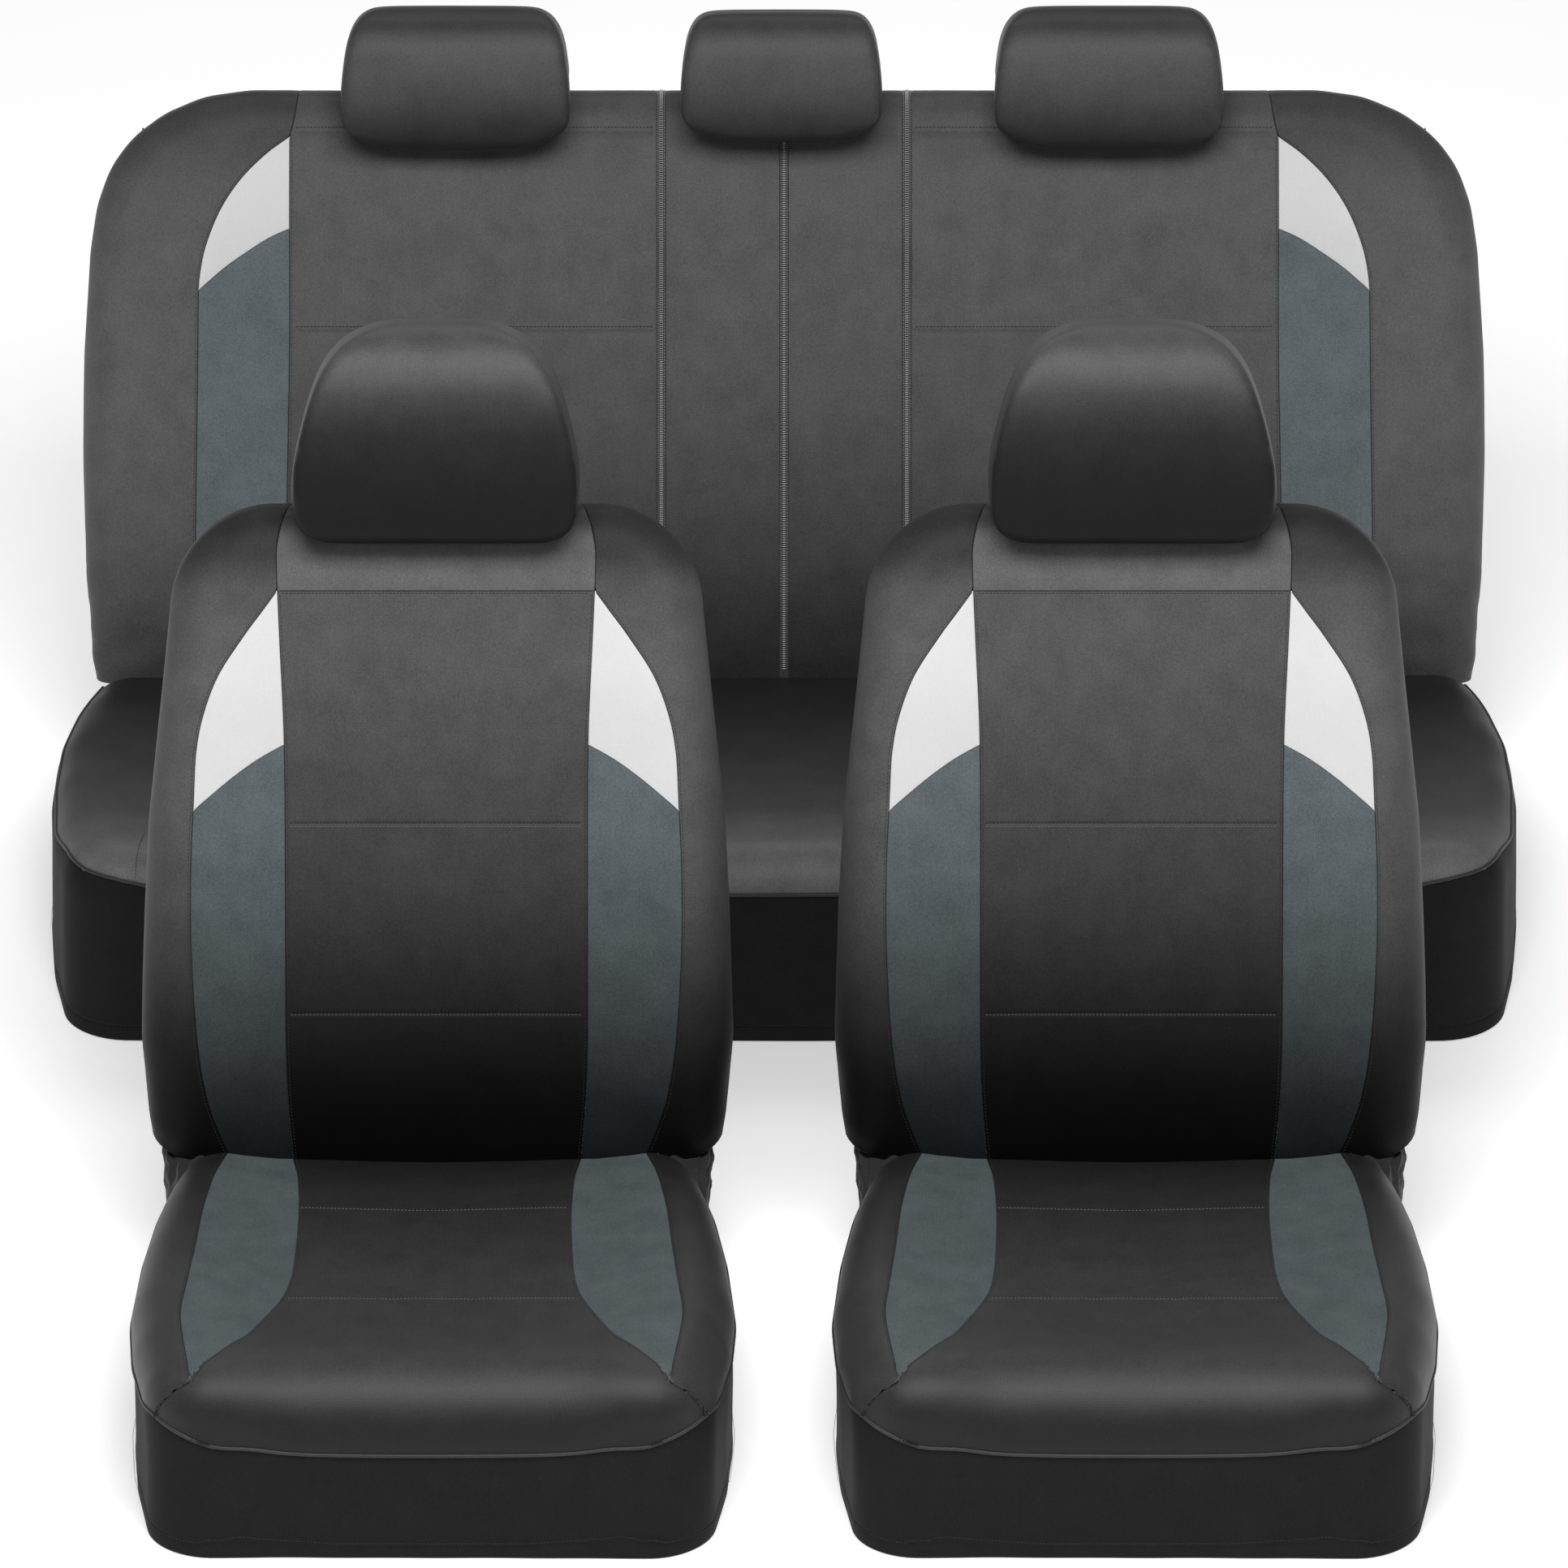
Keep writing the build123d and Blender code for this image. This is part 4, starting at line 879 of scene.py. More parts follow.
seat_panels = {
    "centre": sewn(seat_shell, None, c_rail * M2, c_rail, line2(c_rail[0] * M2, c_rail[0]), front_seam,
                   step=5.5, lines_b=(111.0, 301.0), seed=7, roll=1.2, line_span=(3, 3)),
    "grey": sewn(seat_shell, None, S_IN_U, S_OUT_U, line2(S_IN_U[0], S_OUT_U[0]), np.array([tip_u, tip_u]), step=5.0, seed=8),
    "bolster": sewn(seat_shell, None, b_rail, side_seam, line2(b_rail[0], side_seam[0]), np.array([side_seam[-1], side_seam[-1]]),
                    step=5.5, seed=9, roll=1.2),
}


def skirt_extra(U, P, d):
    flat = P.reshape(-1, 3) * [1, 1, 0.35]
    drop = np.clip((CUSH_TOP - 60 - P[..., 2]) / 110, 0, 1)
    return -2.2 * np.exp(-np.clip(d, 0, None) / 5.0) * 0 - 2.4 + 1.6 * wave_noise(flat, 190, 31, 2).reshape(d.shape) * drop + 2.0 * drop


def skirt_patch(shell, e_top, e_bot, rear, seed, step=7.5, swell=-1.6):
    """Side cloth from the piping seam down to the hem, all the way round from one
    rear corner to the other."""
    keep = shell.outline[:, 1] > rear + 0.5
    C, N, R, O = shell.C[keep], shell.N[keep], shell.R[keep], shell.outline[keep]
    ea, eb = e_top[keep], e_bot[keep]
    run = lengths(O)
    at = np.linspace(0, run[-1], int(run[-1] / step))
    pick = lambda q: np.stack([np.interp(at, run, q[:, c]) for c in range(q.shape[1])], 1)
    C, N = pick(C), pick(N)
    N /= np.linalg.norm(N, axis=1)[:, None]
    R, ea, eb = (np.interp(at, run, q) for q in (R, ea, eb))
    hgt = float(np.median(eb - ea))
    ib = spaced(hgt, 8.0, (hgt - 15.0,), True, True) / hgt
    h, w = len(ib), len(at)
    E = ea[None] * (1 - ib[:, None]) + eb[None] * ib[:, None]
    big = lambda q: np.repeat(q[None], h, 0).reshape(-1, 2)
    P = shell.lift(big(C), big(N), np.repeat(R[None], h, 0).ravel(), E.ravel()).reshape(h, w, 3)
    Nn = np.concatenate([np.repeat(N[None], h, 0), np.zeros((h, w, 1))], -1)
    cb = E - ea[None]
    broad = wave_noise(P.reshape(-1, 3) * [1, 1, 0.3], 230, seed, 2).reshape(h, w)
    disp = -1.2 + (1.6 * broad) * smooth(5, 60, cb) + swell * smooth(0, 90, cb)
    dd = cb - (cb[-1:] - 15.0)
    disp = disp - 0.7 * np.exp(-(dd / 1.3) ** 2) + 0.4 * np.exp(-((dd - 8) / 6.0) ** 2)
    U = np.stack([np.repeat(at[None], h, 0), -E], -1)
    return P, Nn, disp, U


front_skirt = skirt_patch(seat_shell, seat_e, seat_floor_e, -471, 41)


def finish_skirt(cloth, place, sh):
    P, N, disp, U = sh
    Q = P + N * disp[..., None]
    # find the winding that points outwards
    n = np.cross(Q[1:, :-1] - Q[:-1, :-1], Q[:-1, 1:] - Q[:-1, :-1])
    same = (n * N[:-1, :-1]).sum() > 0
    # quads are built as (r, c), (r, c+1), (r+1, c+1), (r+1, c): normal = du x dv
    flip = bool(same)
    if det(place) < 0:
        flip = not flip
    W = place(Q)
    W[..., 2] = np.maximum(W[..., 2], 0.0004)
    cloth.add(W, U, flip=flip)


# ------------------------------------------------------------------ headrests
def prism(name, pts, lo, hi, axis):
    """Extrudes a closed 2-D outline. axis 'n': pts are (x, w) run along n; axis 'x': pts are (n, w) run along x."""
    p = np.asarray(pts, float)
    if axis == "n":
        a = np.column_stack([p[:, 0], p[:, 1], np.full(len(p), lo)])
        b = np.column_stack([p[:, 0], p[:, 1], np.full(len(p), hi)])
    else:
        a = np.column_stack([np.full(len(p), lo), p[:, 1], p[:, 0]])
        b = np.column_stack([np.full(len(p), hi), p[:, 1], p[:, 0]])
    k = len(p)
    v = np.concatenate([a, b]) * MM
    f = [(i, (i + 1) % k, k + (i + 1) % k, k + i) for i in range(k)] + [tuple(range(k - 1, -1, -1)), tuple(range(k, 2 * k))]
    me = bpy.data.meshes.new(name)
    me.from_pydata([tuple(q) for q in v], [], f)
    me.update()
    ob = bpy.data.objects.new(name, me)
    bpy.context.scene.collection.objects.link(ob)
    import bmesh
    bm = bmesh.new()
    bm.from_mesh(me)
    bmesh.ops.recalc_face_normals(bm, faces=bm.faces)
    bm.to_mesh(me)
    bm.free()
    return ob


def pillow(front_pts, side_pts, grow=2.0, voxel=4.5, relax=22):
    """Local vertices and faces of a soft headrest: the outline seen from the front,
    crossed with the outline seen from the side, softened."""
    fp = np.asarray(front_pts, float)
    sp = np.asarray(side_pts, float)
    fc, sc = fp.mean(0), sp.mean(0)
    fp = fc + (fp - fc) * (1 + grow / 100.0)
    sp = sc + (sp - sc) * (1 + grow / 60.0)
    a = prism("tmp_a", fp, -140, 90, "n")
    b = prism("tmp_b", sp, -200, 200, "x")
    m = a.modifiers.new("b", "BOOLEAN")
    m.operation, m.object, m.solver = "INTERSECT", b, "EXACT"
    r = a.modifiers.new("r", "REMESH")
    r.mode, r.voxel_size = "VOXEL", voxel * MM
    s = a.modifiers.new("s", "SMOOTH")
    s.factor, s.iterations = 0.5, relax
    sub = a.modifiers.new("u", "SUBSURF")
    sub.levels = sub.render_levels = 1
    dg = bpy.context.evaluated_depsgraph_get()
    dg.update()
    me = bpy.data.meshes.new_from_object(a.evaluated_get(dg))
    v = np.empty(len(me.vertices) * 3)
    me.vertices.foreach_get("co", v)
    faces = [tuple(p.vertices) for p in me.polygons]
    for o in (a, b):
        bpy.data.objects.remove(o)
    bpy.data.meshes.remove(me)
    return v.reshape(-1, 3) / MM, faces


def soft_outline(half, step=4.0):
    c = curve(half, step)
    return np.concatenate([c, (c * M2)[::-1][1:-1]])


front_face = soft_outline([(0, 566), (60, 566), (100, 567.5), (118, 575), (127, 590), (129.5, 612), (128, 640),
                           (122, 668), (113, 700), (103, 724), (87, 745), (66, 758), (42, 765), (0, 767)])
front_side = curve([(6, 582), (8, 570), (14, 566), (22, 569), (28, 590), (33, 640), (36, 690), (31, 727), (16, 754),
                    (-12, 767), (-42, 766), (-64, 748), (-74, 705), (-74, 650), (-72, 606), (-66, 600), (-30, 600), (0, 600), (5, 597), (6, 582)], 4.0)[:-1]
rear_side = curve([(6, 540), (7, 512), (13, 503), (26, 501), (42, 510), (50, 536), (50, 578), (46, 606), (34, 625),
                   (8, 635), (-28, 633), (-52, 618), (-62, 592), (-61, 564), (-56, 560), (-30, 560), (-2, 560), (5, 556), (6, 540)], 4.0)[:-1]
outboard_face = soft_outline([(0, 500), (50, 501.5), (78, 506), (98, 514), (108, 522), (112, 534), (111.5, 560), (109.5, 580),
                              (107, 598), (103, 612), (96, 624), (84, 633), (60, 635.5), (0, 636)])
centre_face = soft_outline([(0, 510), (45, 512), (72, 516), (88, 522), (96.5, 531), (98.5, 545), (97.8, 570), (96, 584),
                            (93.5, 600), (90, 613), (84, 623), (76, 629), (55, 631), (0, 631.5)])


def headrest_object(name, face, side, place, body, replaces, mouth, lip_w, seed, hem_name=None, hem_replaces=None, dx=0.0, mat=None):
    v, faces = pillow(face, side)
    v = v + (wave_noise(v, 120, seed, 2) * 0.7)[:, None] * np.array([0, 0, 1.0])
    # open mouth underneath, inside the elastic hem
    c = np.array([v[list(f)].mean(0) for f in faces])
    x0, n0, n1 = mouth
    inside = (np.abs(c[:, 0]) < x0) & (c[:, 2] > n0) & (c[:, 2] < n1) & (np.abs(c[:, 1] - lip_w) < 9)
    rx = np.clip((np.abs(c[:, 0]) - x0 + 18) / 18, 0, 1)
    rn = np.clip((np.abs(c[:, 2] - (n0 + n1) / 2) - (n1 - n0) / 2 + 18) / 18, 0, 1)
    inside &= (rx ** 2 + rn ** 2) < 1
    # gathers towards the mouth
    dm = np.maximum(np.abs(v[:, 0]) - x0, np.abs(v[:, 2] - (n0 + n1) / 2) - (n1 - n0) / 2)
    near = (np.abs(v[:, 1] - lip_w) < 9) & (dm < 30)
    ph = np.arctan2((v[:, 2] - (n0 + n1) / 2) * 2.2, v[:, 0]) * 26
    v[:, 1] += np.where(near, 1.1 * np.sin(ph) * np.exp(-np.clip(dm, 0, None) / 9.0), 0)
    keep_faces = [f for f, i in zip(faces, inside) if not i]
    used = np.zeros(len(v), bool)
    for f in keep_faces:
        used[list(f)] = True
    remap = np.cumsum(used) - 1
    vv = v[used] + [dx, 0, 0]
    ff = [tuple(int(remap[i]) for i in f) for f in keep_faces]
    uv = np.column_stack([vv[:, 0] + 0.4 * vv[:, 2], vv[:, 1]]) * MM
    ob = new_object(name, place(vv), ff, uv, [mat])
    m = ob.modifiers.new("cloth", "SOLIDIFY")
    m.thickness, m.offset = 2.2 * MM, -1
    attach(ob, body)
    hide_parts(*replaces)
    W = place(vv)
    for f in ff:
        q = W[list(f)]
    # elastic hem: a gathered bead round the mouth
    ts = np.linspace(0, 2 * math.pi, 181)[:-1]
    ex, en = x0 - 1, (n1 - n0) / 2 - 1
    sup = lambda c_, e: np.sign(c_) * np.abs(c_) ** e
    px = ex * sup(np.cos(ts), 0.32) + dx
    pn = (n0 + n1) / 2 + en * sup(np.sin(ts), 0.32)
    rr = 2.2 + 0.45 * np.sin(ts * 52)
    bead_v, bead_f = [], []
    K = len(ts)
    for i in range(K):
        a = np.array([px[(i + 1) % K] - px[i - 1], 0, pn[(i + 1) % K] - pn[i - 1]])
        a /= np.linalg.norm(a)
        s = np.cross(a, [0, 1, 0])
        for q in range(8):
            an = q * math.pi / 4
            bead_v.append(np.array([px[i], lip_w + 3.0, pn[i]]) + (s * math.cos(an) + np.array([0, 1, 0]) * math.sin(an)) * rr[i])
    for i in range(K):
        for q in range(8):
            a, b = i * 8 + q, i * 8 + (q + 1) % 8
            c2, d2 = ((i + 1) % K) * 8 + (q + 1) % 8, ((i + 1) % K) * 8 + q
            bead_f.append((a, b, c2, d2))
    hem = new_object(hem_name or name + "_hem", place(np.array(bead_v)), bead_f, None, [ELASTIC])
    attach(hem, body)
    if hem_replaces:
        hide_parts(*hem_replaces)
    return ob


# ------------------------------------------------------------------ gussets
def gusset(name, x, body_root, body_back, replaces):
    cloth = Cloth()
    a20 = math.radians(20)
    W = np.array([0, math.sin(a20), math.cos(a20)])
    Nn = np.array([0, -math.cos(a20), math.sin(a20)])
    O = np.array([0, 484.0, 156.0])
    for sgn in (-1, 1):
        up = curve([O + np.array([200, 0, 0]) + W * -4 + Nn * -52, O + np.array([234, 0, 0]) + W * 2 + Nn * -52,
                    O + np.array([250, 0, 0]) + W * 12 + Nn * -56, O + np.array([254, 0, 0]) + W * 12 + Nn * -70,
                    O + np.array([254, 0, 0]) + W * 8 + Nn * -88], 3.0)
        lo = curve([np.array([205, 462.0, 150]), np.array([232, 450.0, 142]), np.array([246.5, 440.0, 124]),
                    np.array([246, 452.0, 96]), np.array([245, 466.0, 62])], 3.0)
        na, nb = 70, 26
        fa = np.linspace(0, 1, na)
        U_ = resample(up, at=fa * lengths(up)[-1])
        L_ = resample(lo, at=fa * lengths(lo)[-1])
        fb = np.linspace(0, 1, nb)[:, None, None]
        P = U_[None] * (1 - fb) + L_[None] * fb
        N = grid_normals(P)
        out = P - np.array([120.0, 520.0, 100.0])
        if (N * out).sum() < 0:
            N = -N
        b = fb[..., 0]
        swell = 1.5 * np.sin(math.pi * b)
        fl = P.reshape(-1, 3)
        folds = 1.9 * wave_noise(fl * [1.0, 1.0, 2.4], 42, 71 + sgn, 3).reshape(nb, na) + 1.5 * np.sin(
            fa[None] * 34 + 3.0 * b + 1.5 * wave_noise(fl, 60, 75, 2).reshape(nb, na))
        env = np.sin(math.pi * np.clip(b, 0.02, 0.98)) ** 0.5
        Q = P + N * (swell + folds * env)[..., None]
        if sgn < 0:
            Q = Q * [-1, 1, 1]
        Q = Q + np.array([x, Y_SHIFT, 0])
        UV = np.stack([np.repeat(fa[None] * 90, nb, 0), np.repeat((fb[..., 0]) * 60, na, 1)], -1)
        n = np.cross(Q[:-1, 1:] - Q[:-1, :-1], Q[1:, :-1] - Q[:-1, :-1])
        o = (Q - np.array([x, 520 + Y_SHIFT, 100]))[:-1, :-1]
        cloth.add(Q * MM, UV, flip=(n * o).sum() < 0)
    a, b = (x * MM, (470 + Y_SHIFT) * MM, 0.110), (x * MM, (489 + Y_SHIFT) * MM, 0.172)
    return cloth.build(name, GUSSET, replaces=replaces, thick=1.2, slot="cover_charcoal",
                       blend=(body_root, body_back, a, b), held="gathered")


GUSSET = knit("gusset_knit", (0.026, 0.026, 0.027), rough=0.55, spec=0.15, sheen=0.05)


# ------------------------------------------------------------------ small makers
def beside(line, d):
    """The line shifted sideways; a line running up shifts outwards for d > 0."""
    t = np.gradient(line, axis=0)
    t /= np.linalg.norm(t, axis=1)[:, None] + 1e-12
    return line + np.stack([t[:, 1], -t[:, 0]], 1) * d


def tube(name, pts, r, mat, body, place, sides=8, wobble=0.0, squash=1.0, closed=False):
    """A round edge or welt along local points."""
    p = np.asarray(pts, float)
    t = np.gradient(p, axis=0)
    if closed:
        t = np.roll(p, -1, 0) - np.roll(p, 1, 0)
    t /= np.linalg.norm(t, axis=1)[:, None] + 1e-12
    up = np.array([0, 0, 1.0])
    s = np.cross(t, up)
    ln = np.linalg.norm(s, axis=1)
    s[ln < 1e-3] = [1, 0, 0]
    s /= np.linalg.norm(s, axis=1)[:, None]
    q = np.cross(s, t)
    run = lengths(p)
    v, f = [], []
    K = len(p)
    for i in range(K):
        rr = r * (1 + wobble * math.sin(run[i] * 0.9))
        for j in range(sides):
            an = 2 * math.pi * j / sides
            v.append(p[i] + (s[i] * math.cos(an) + q[i] * math.sin(an) * squash) * rr)
    for i in range(K if closed else K - 1):
        k2 = (i + 1) % K
        for j in range(sides):
            j2 = (j + 1) % sides
            f.append((i * sides + j, i * sides + j2, k2 * sides + j2, k2 * sides + j))
    if not closed:
        f.append(tuple(range(sides - 1, -1, -1)))
        f.append(tuple((K - 1) * sides + j for j in range(sides)))
    uv = np.column_stack([np.tile(np.arange(sides), K) * r * 0.8, np.repeat(run, sides)]) * MM
    ob = new_object(name, place(np.array(v)), f, uv, [mat])
    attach(ob, body)
    return ob


def teeth(th, shell, x0, x1, w0, w1, pitch=2.1, r=0.6, lift=0.5):
    ws = np.arange(w0, w1, pitch)
    A, na = on_shell(shell, np.column_stack([np.full(len(ws), x0), ws]))
    B, nb = on_shell(shell, np.column_stack([np.full(len(ws), x1), ws]))
    for a, b, n in zip(A, B, na):
        t = (b - a) / np.linalg.norm(b - a)
        s = np.cross(t, n)
        base = th.n
        for j, (f, rr) in enumerate(((0, 0.7), (0.5, 1.0), (1, 0.7))):
            c = a + (b - a) * f + n * lift
            for q in range(6):
                an = q * math.pi / 3
                th.v.append(c + (s * math.cos(an) + n * math.sin(an)) * r * rr)
        for j in range(2):
            for q in range(6):
                th.f.append((base + j * 6 + q, base + j * 6 + (q + 1) % 6, base + (j + 1) * 6 + (q + 1) % 6, base + (j + 1) * 6 + q))
        th.f.append(tuple(base + q for q in range(5, -1, -1)))
        th.f.append(tuple(base + 12 + q for q in range(6)))
        th.n += 18


def stitch(th, shell, line, d=0.0, both=False, patch=None, **kw):
    U = beside(line, d) if d else np.asarray(line, float)
    P, n = on_shell(shell, U)
    if patch is not None:
        P = P + n * cloth_lift(patch, U)[:, None]
    if n[:, 2].mean() < 0 and (n @ np.array([0, 0, 1.0])).mean() < -0.3:
        n = -n
    th.row(P, n, **kw)
    if both:
        th.row(P * [-1, 1, 1], n * [-1, 1, 1], **kw)


def keep_node(name, mat, bevel=0.5):
    o = bpy.data.objects[name]
    o.data.materials.clear()
    o.data.materials.append(mat)
    m = o.modifiers.new("edge", "BEVEL")
    m.width, m.segments, m.limit_method = bevel * MM, 2, "ANGLE"
    m.angle_limit = math.radians(35)
    return o


def seat_frame(x, y, tilt, top):
    a = math.radians(tilt)
    return Place((x, y + Y_SHIFT + top * math.sin(a), top * math.cos(a)), (1, 0, 0), (0, -math.cos(a), math.sin(a)), (0, math.sin(a), math.cos(a)))


# ------------------------------------------------------------------ both front seats
front_rest_seam = 600.0


def front_seat(tag, x):
    T_ = tag + "_front_"
    body = T_ + "back"
    back = back_place(x, 484, 156, 20)
    seat = seat_frame(x, 0, CUSH_TILT, CUSH_TOP)
    for key, node, mat, slot, sides in (
            ("centre", "back_centre_panel", BACK_CLOTH, "cover_charcoal", "w"),
            ("yoke", "back_yoke", YOKE_CLOTH, "cover_charcoal", "w"),
            ("grey", "back_grey_inserts", BACK_GREY, "insert_grey", "rl"),
            ("white", "back_white_accents", WHITE, "accent_white", "rl"),
            ("bolster", "back_bolsters", BACK_SIDE, "cover_charcoal", "rl")):
        c = Cloth()
        put(c, back, front_panels[key], sides=sides)
        c.build(T_ + node + "_cloth", mat, body, (T_ + node,), slot=slot)
    c = Cloth()
    put(c, Turned(back, T_BACK), front_rear_panel, sides="w")
    c.build(T_ + "back_rear_cloth", BACKING, body, (T_ + "back_rear_panel",), slot="backing_knit")
    for key, node, mat, slot, sides in (
            ("centre", "cushion_centre_panel", SEAT_CLOTH, "cover_charcoal", "w"),
            ("grey", "cushion_grey_inserts", GREY, "insert_grey", "rl"),
            ("bolster", "cushion_bolsters", SEAT_CLOTH, "cover_charcoal", "rl")):
        c = Cloth()
        put(c, seat, seat_panels[key], sides=sides)
        c.build(T_ + node + "_cloth", mat, "cushions", (T_ + node,), slot=slot)
    c = Cloth()
    finish_skirt(c, seat, front_skirt)
    c.build(T_ + "cushion_skirt_cloth", SKIRT, "cushions", (T_ + "cushion_skirt",), slot="cover_charcoal", held="hung")
    # piping between top and skirt
    P = seat_shell.at(seat_seam[(seat_shell.outline[:, 1] > -470.5)])
    tube(T_ + "cushion_piping", P, 1.9, CHARCOAL, "cushions", seat)
    # stitches
    th = Threads()
    stitch(th, front_back, INNER, -2.3, True, front_panels["centre"])
    stitch(th, front_back, OUTER, 2.2, True, front_panels["bolster"])
    for w in (130.6, 305.8, 519.0):
        k_ = 135 if w < 500 else 142
        stitch(th, front_back, line2((-k_, w - (0 if w < 500 else 2.2)), (k_, w - (0 if w < 500 else 2.2))), patch=front_panels["centre"],
               r=0.4, lift=0.1)
    th.build(T_ + "back_stitching", back, THREAD, body, "cover_charcoal")
    th = Threads()
    for w in (130.6, 305.8, 519.0):
        k_ = 135 if w < 500 else 142
        stitch(th, front_back, line2((-k_, w - 3.4), (k_, w - 3.4)), patch=front_panels["centre"], length=2.6, r=0.36, lift=0.02)
    th.build(T_ + "back_topstitch", back, THREAD_LIGHT, body, "cover_charcoal")
    th = Threads()
    stitch(th, seat_shell, S_IN_U, -2.3, True, seat_panels["centre"])
    stitch(th, seat_shell, S_OUT_U, 2.2, True, seat_panels["bolster"])
    stitch(th, seat_shell, corner_line, 2.2, True, seat_panels["bolster"])
    sk = seat_shell.outline[:, 1] > -470
    hem_e = seat_floor_e - 16.0
    stitch(th, seat_shell, (seat_shell.C + seat_shell.N * hem_e[:, None])[sk])
    th.build(T_ + "cushion_stitching", seat, THREAD, "cushions", "cover_charcoal")
    th = Threads()
    for u in (-360.0, -170.0):
        k_ = 124 if u < -200 else 132
        stitch(th, seat_shell, line2((-k_, u), (k_, u)), patch=seat_panels["centre"], length=2.9, r=0.45, lift=0.12)
    th.build(T_ + "cushion_topstitch", seat, THREAD_LIGHT, "cushions", "cover_charcoal")
    headrest_object(T_ + "headrest_cloth", front_face, front_side, back, T_ + "headrest", (T_ + "headrest_cover",),
                    (98, -62, -2), 600, 11, T_ + "headrest_elastic", (T_ + "headrest_hem",), mat=REST_CLOTH)
    gusset(T_ + "crease_gusset_cloth", x, "cushions", body, (T_ + "crease_gussets",))
    # tuck flap
    c = Cloth()
    na, nb = 70, 14
    fa, fb = np.meshgrid(np.linspace(-205, 205, na), np.linspace(0, 1, nb))
    P = np.stack([fa * (1 + 0.1 * (1 - fb)) + x, 469.5 + 70.5 * fb, 141 - 20 * fb - 27 * fb ** 2], -1)
    P[..., 1] += 2.0 * np.sin(fa / 23.0 + 2 * fb) * fb
    P[..., 2] += 3.0 * np.sin(fa / 31.0 + 1.0) * fb
    P[..., 1] += Y_SHIFT
    c.add(P * MM, np.stack([fa, fb * 74], -1), False)
    c.build(T_ + "tuck_cloth", BACKING, "cushions", (T_ + "tuck_flap",), thick=1.6, slot="backing_knit", held="folded")
    keep_node(T_ + "buckle_tongue", PLASTIC)


front_seat("left", -SEAT_X)
front_seat("right", SEAT_X)

# ================================================================== REAR BENCH
T_BENCH = 106.0
BENCH_HALF = [(664, 0), (672, 90), (674, 210), (673, 300), (667, 397), (660, 443), (648, 477), (627, 506), (596, 529), (558, 545), (515, 551), (0, 551)]
BENCH_RADII = [0, 300, 400, 400, 150, 100, 100, 100, 100, 100, 100, 0]
B_SEAM_E = 38 * math.pi / 2 + 36.0
B_TOTAL = 38 * math.pi + 30.0
B_REAR_E = B_TOTAL - B_SEAM_E


def bench_crown(U):
    x, w = np.abs(U[:, 0]), U[:, 1]
    n = 9.0 * smooth(480, 600, x) * smooth(-30, 60, w) * (1 - smooth(400, 510, w))
    n += 5.0 * np.exp(-((w - 190) / 110) ** 2) * (1 - 0.4 * smooth(480, 620, x))
    n -= 11.0 * smooth(420, 545, w)
    t = np.clip((100 - w) / 100, 0, 1.2)
    n -= (15.0 - 6 * smooth(560, 640, x)) * t ** 2
    return n


def bench_rear_crown(U):
    return np.zeros(len(U))


bench = Shell(rounded(BENCH_HALF, BENCH_RADII), 38.0, 30.0, 38.0, bench_crown)
bench_rear = Shell(rounded(BENCH_HALF, BENCH_RADII), 38.0, 30.0, 38.0, bench_rear_crown)
bench_p = back_place(0, 1470, 142, 22)
bench_r = Turned(bench_p, T_BENCH)
BI = curve([(480, -26), (480, -5), (479, 76), (478, 157), (476, 258), (475, 340), (475, 423), (475, 511)])
BO = curve([(568, -26), (568, -5), (567, 60), (566, 113), (564.5, 210), (563.3, 290), (562.5, 364)])
BA = curve([(562.5, 364), (561, 381), (555.3, 407.4), (541.8, 441), (522.5, 470), (498.4, 494), (475, 511)])
BSPLIT = curve([(562.5, 364), (537.3, 385.8), (513, 402.7), (493.7, 414.7), (475, 423)])
bi_lo, bi_hi = cut_at(BI, (475, 423))
B_TOP_U = 513 + B_SEAM_E
byoke = bench.unroll(curve([(475, 511), (472, 522), (469.5, 535), (467, 550.95)]))
byoke = np.concatenate([byoke, resample(np.array([byoke[-1], (466.0, B_TOP_U)]), step=2.0)[1:]])
ZE = 3.9
ZIP_X = 118.0


def vline(x, a, b):
    return resample(np.array([(x, a), (x, b)], float), step=4.0)


main_right = np.concatenate([BI, byoke[1:]])
bp = {}
main_left = vline(ZIP_X + ZE, -26, B_TOP_U)


bp["main"] = sewn(bench, None, main_left, main_right, line2(main_left[0], main_right[0]), line2(main_left[-1], main_right[-1]),
                  step=6.5, seed=51, lines_b=(355.0, 546.0), line_span=(3, 3))
bp["grey"] = sewn(bench, None, bi_lo, BO, line2(bi_lo[0], BO[0]), BSPLIT[::-1], step=5.0, seed=52)
bp["white"] = sewn(bench, None, bi_hi, BA, BSPLIT[::-1], np.array([BA[-1], BA[-1]]), step=5.0, seed=53, pucker=0.1)
boff = bench.offset(B_SEAM_E)[: len(bench.C) // 2 + 1]
brim = boff[(boff[:, 1] > -18) & (boff[:, 0] > 467)]
brim = np.concatenate([brim, [byoke[-1]]])
bol_left = np.concatenate([BO, BA[1:], byoke[1:]])


def bench_bolster_extra(U, P, d):
    w = P[..., 1]
    return 1.5 * wave_noise(P.reshape(-1, 3), 55, 57, 2).reshape(w.shape) * (1 - smooth(40, 160, w)) * smooth(4, 20, d)


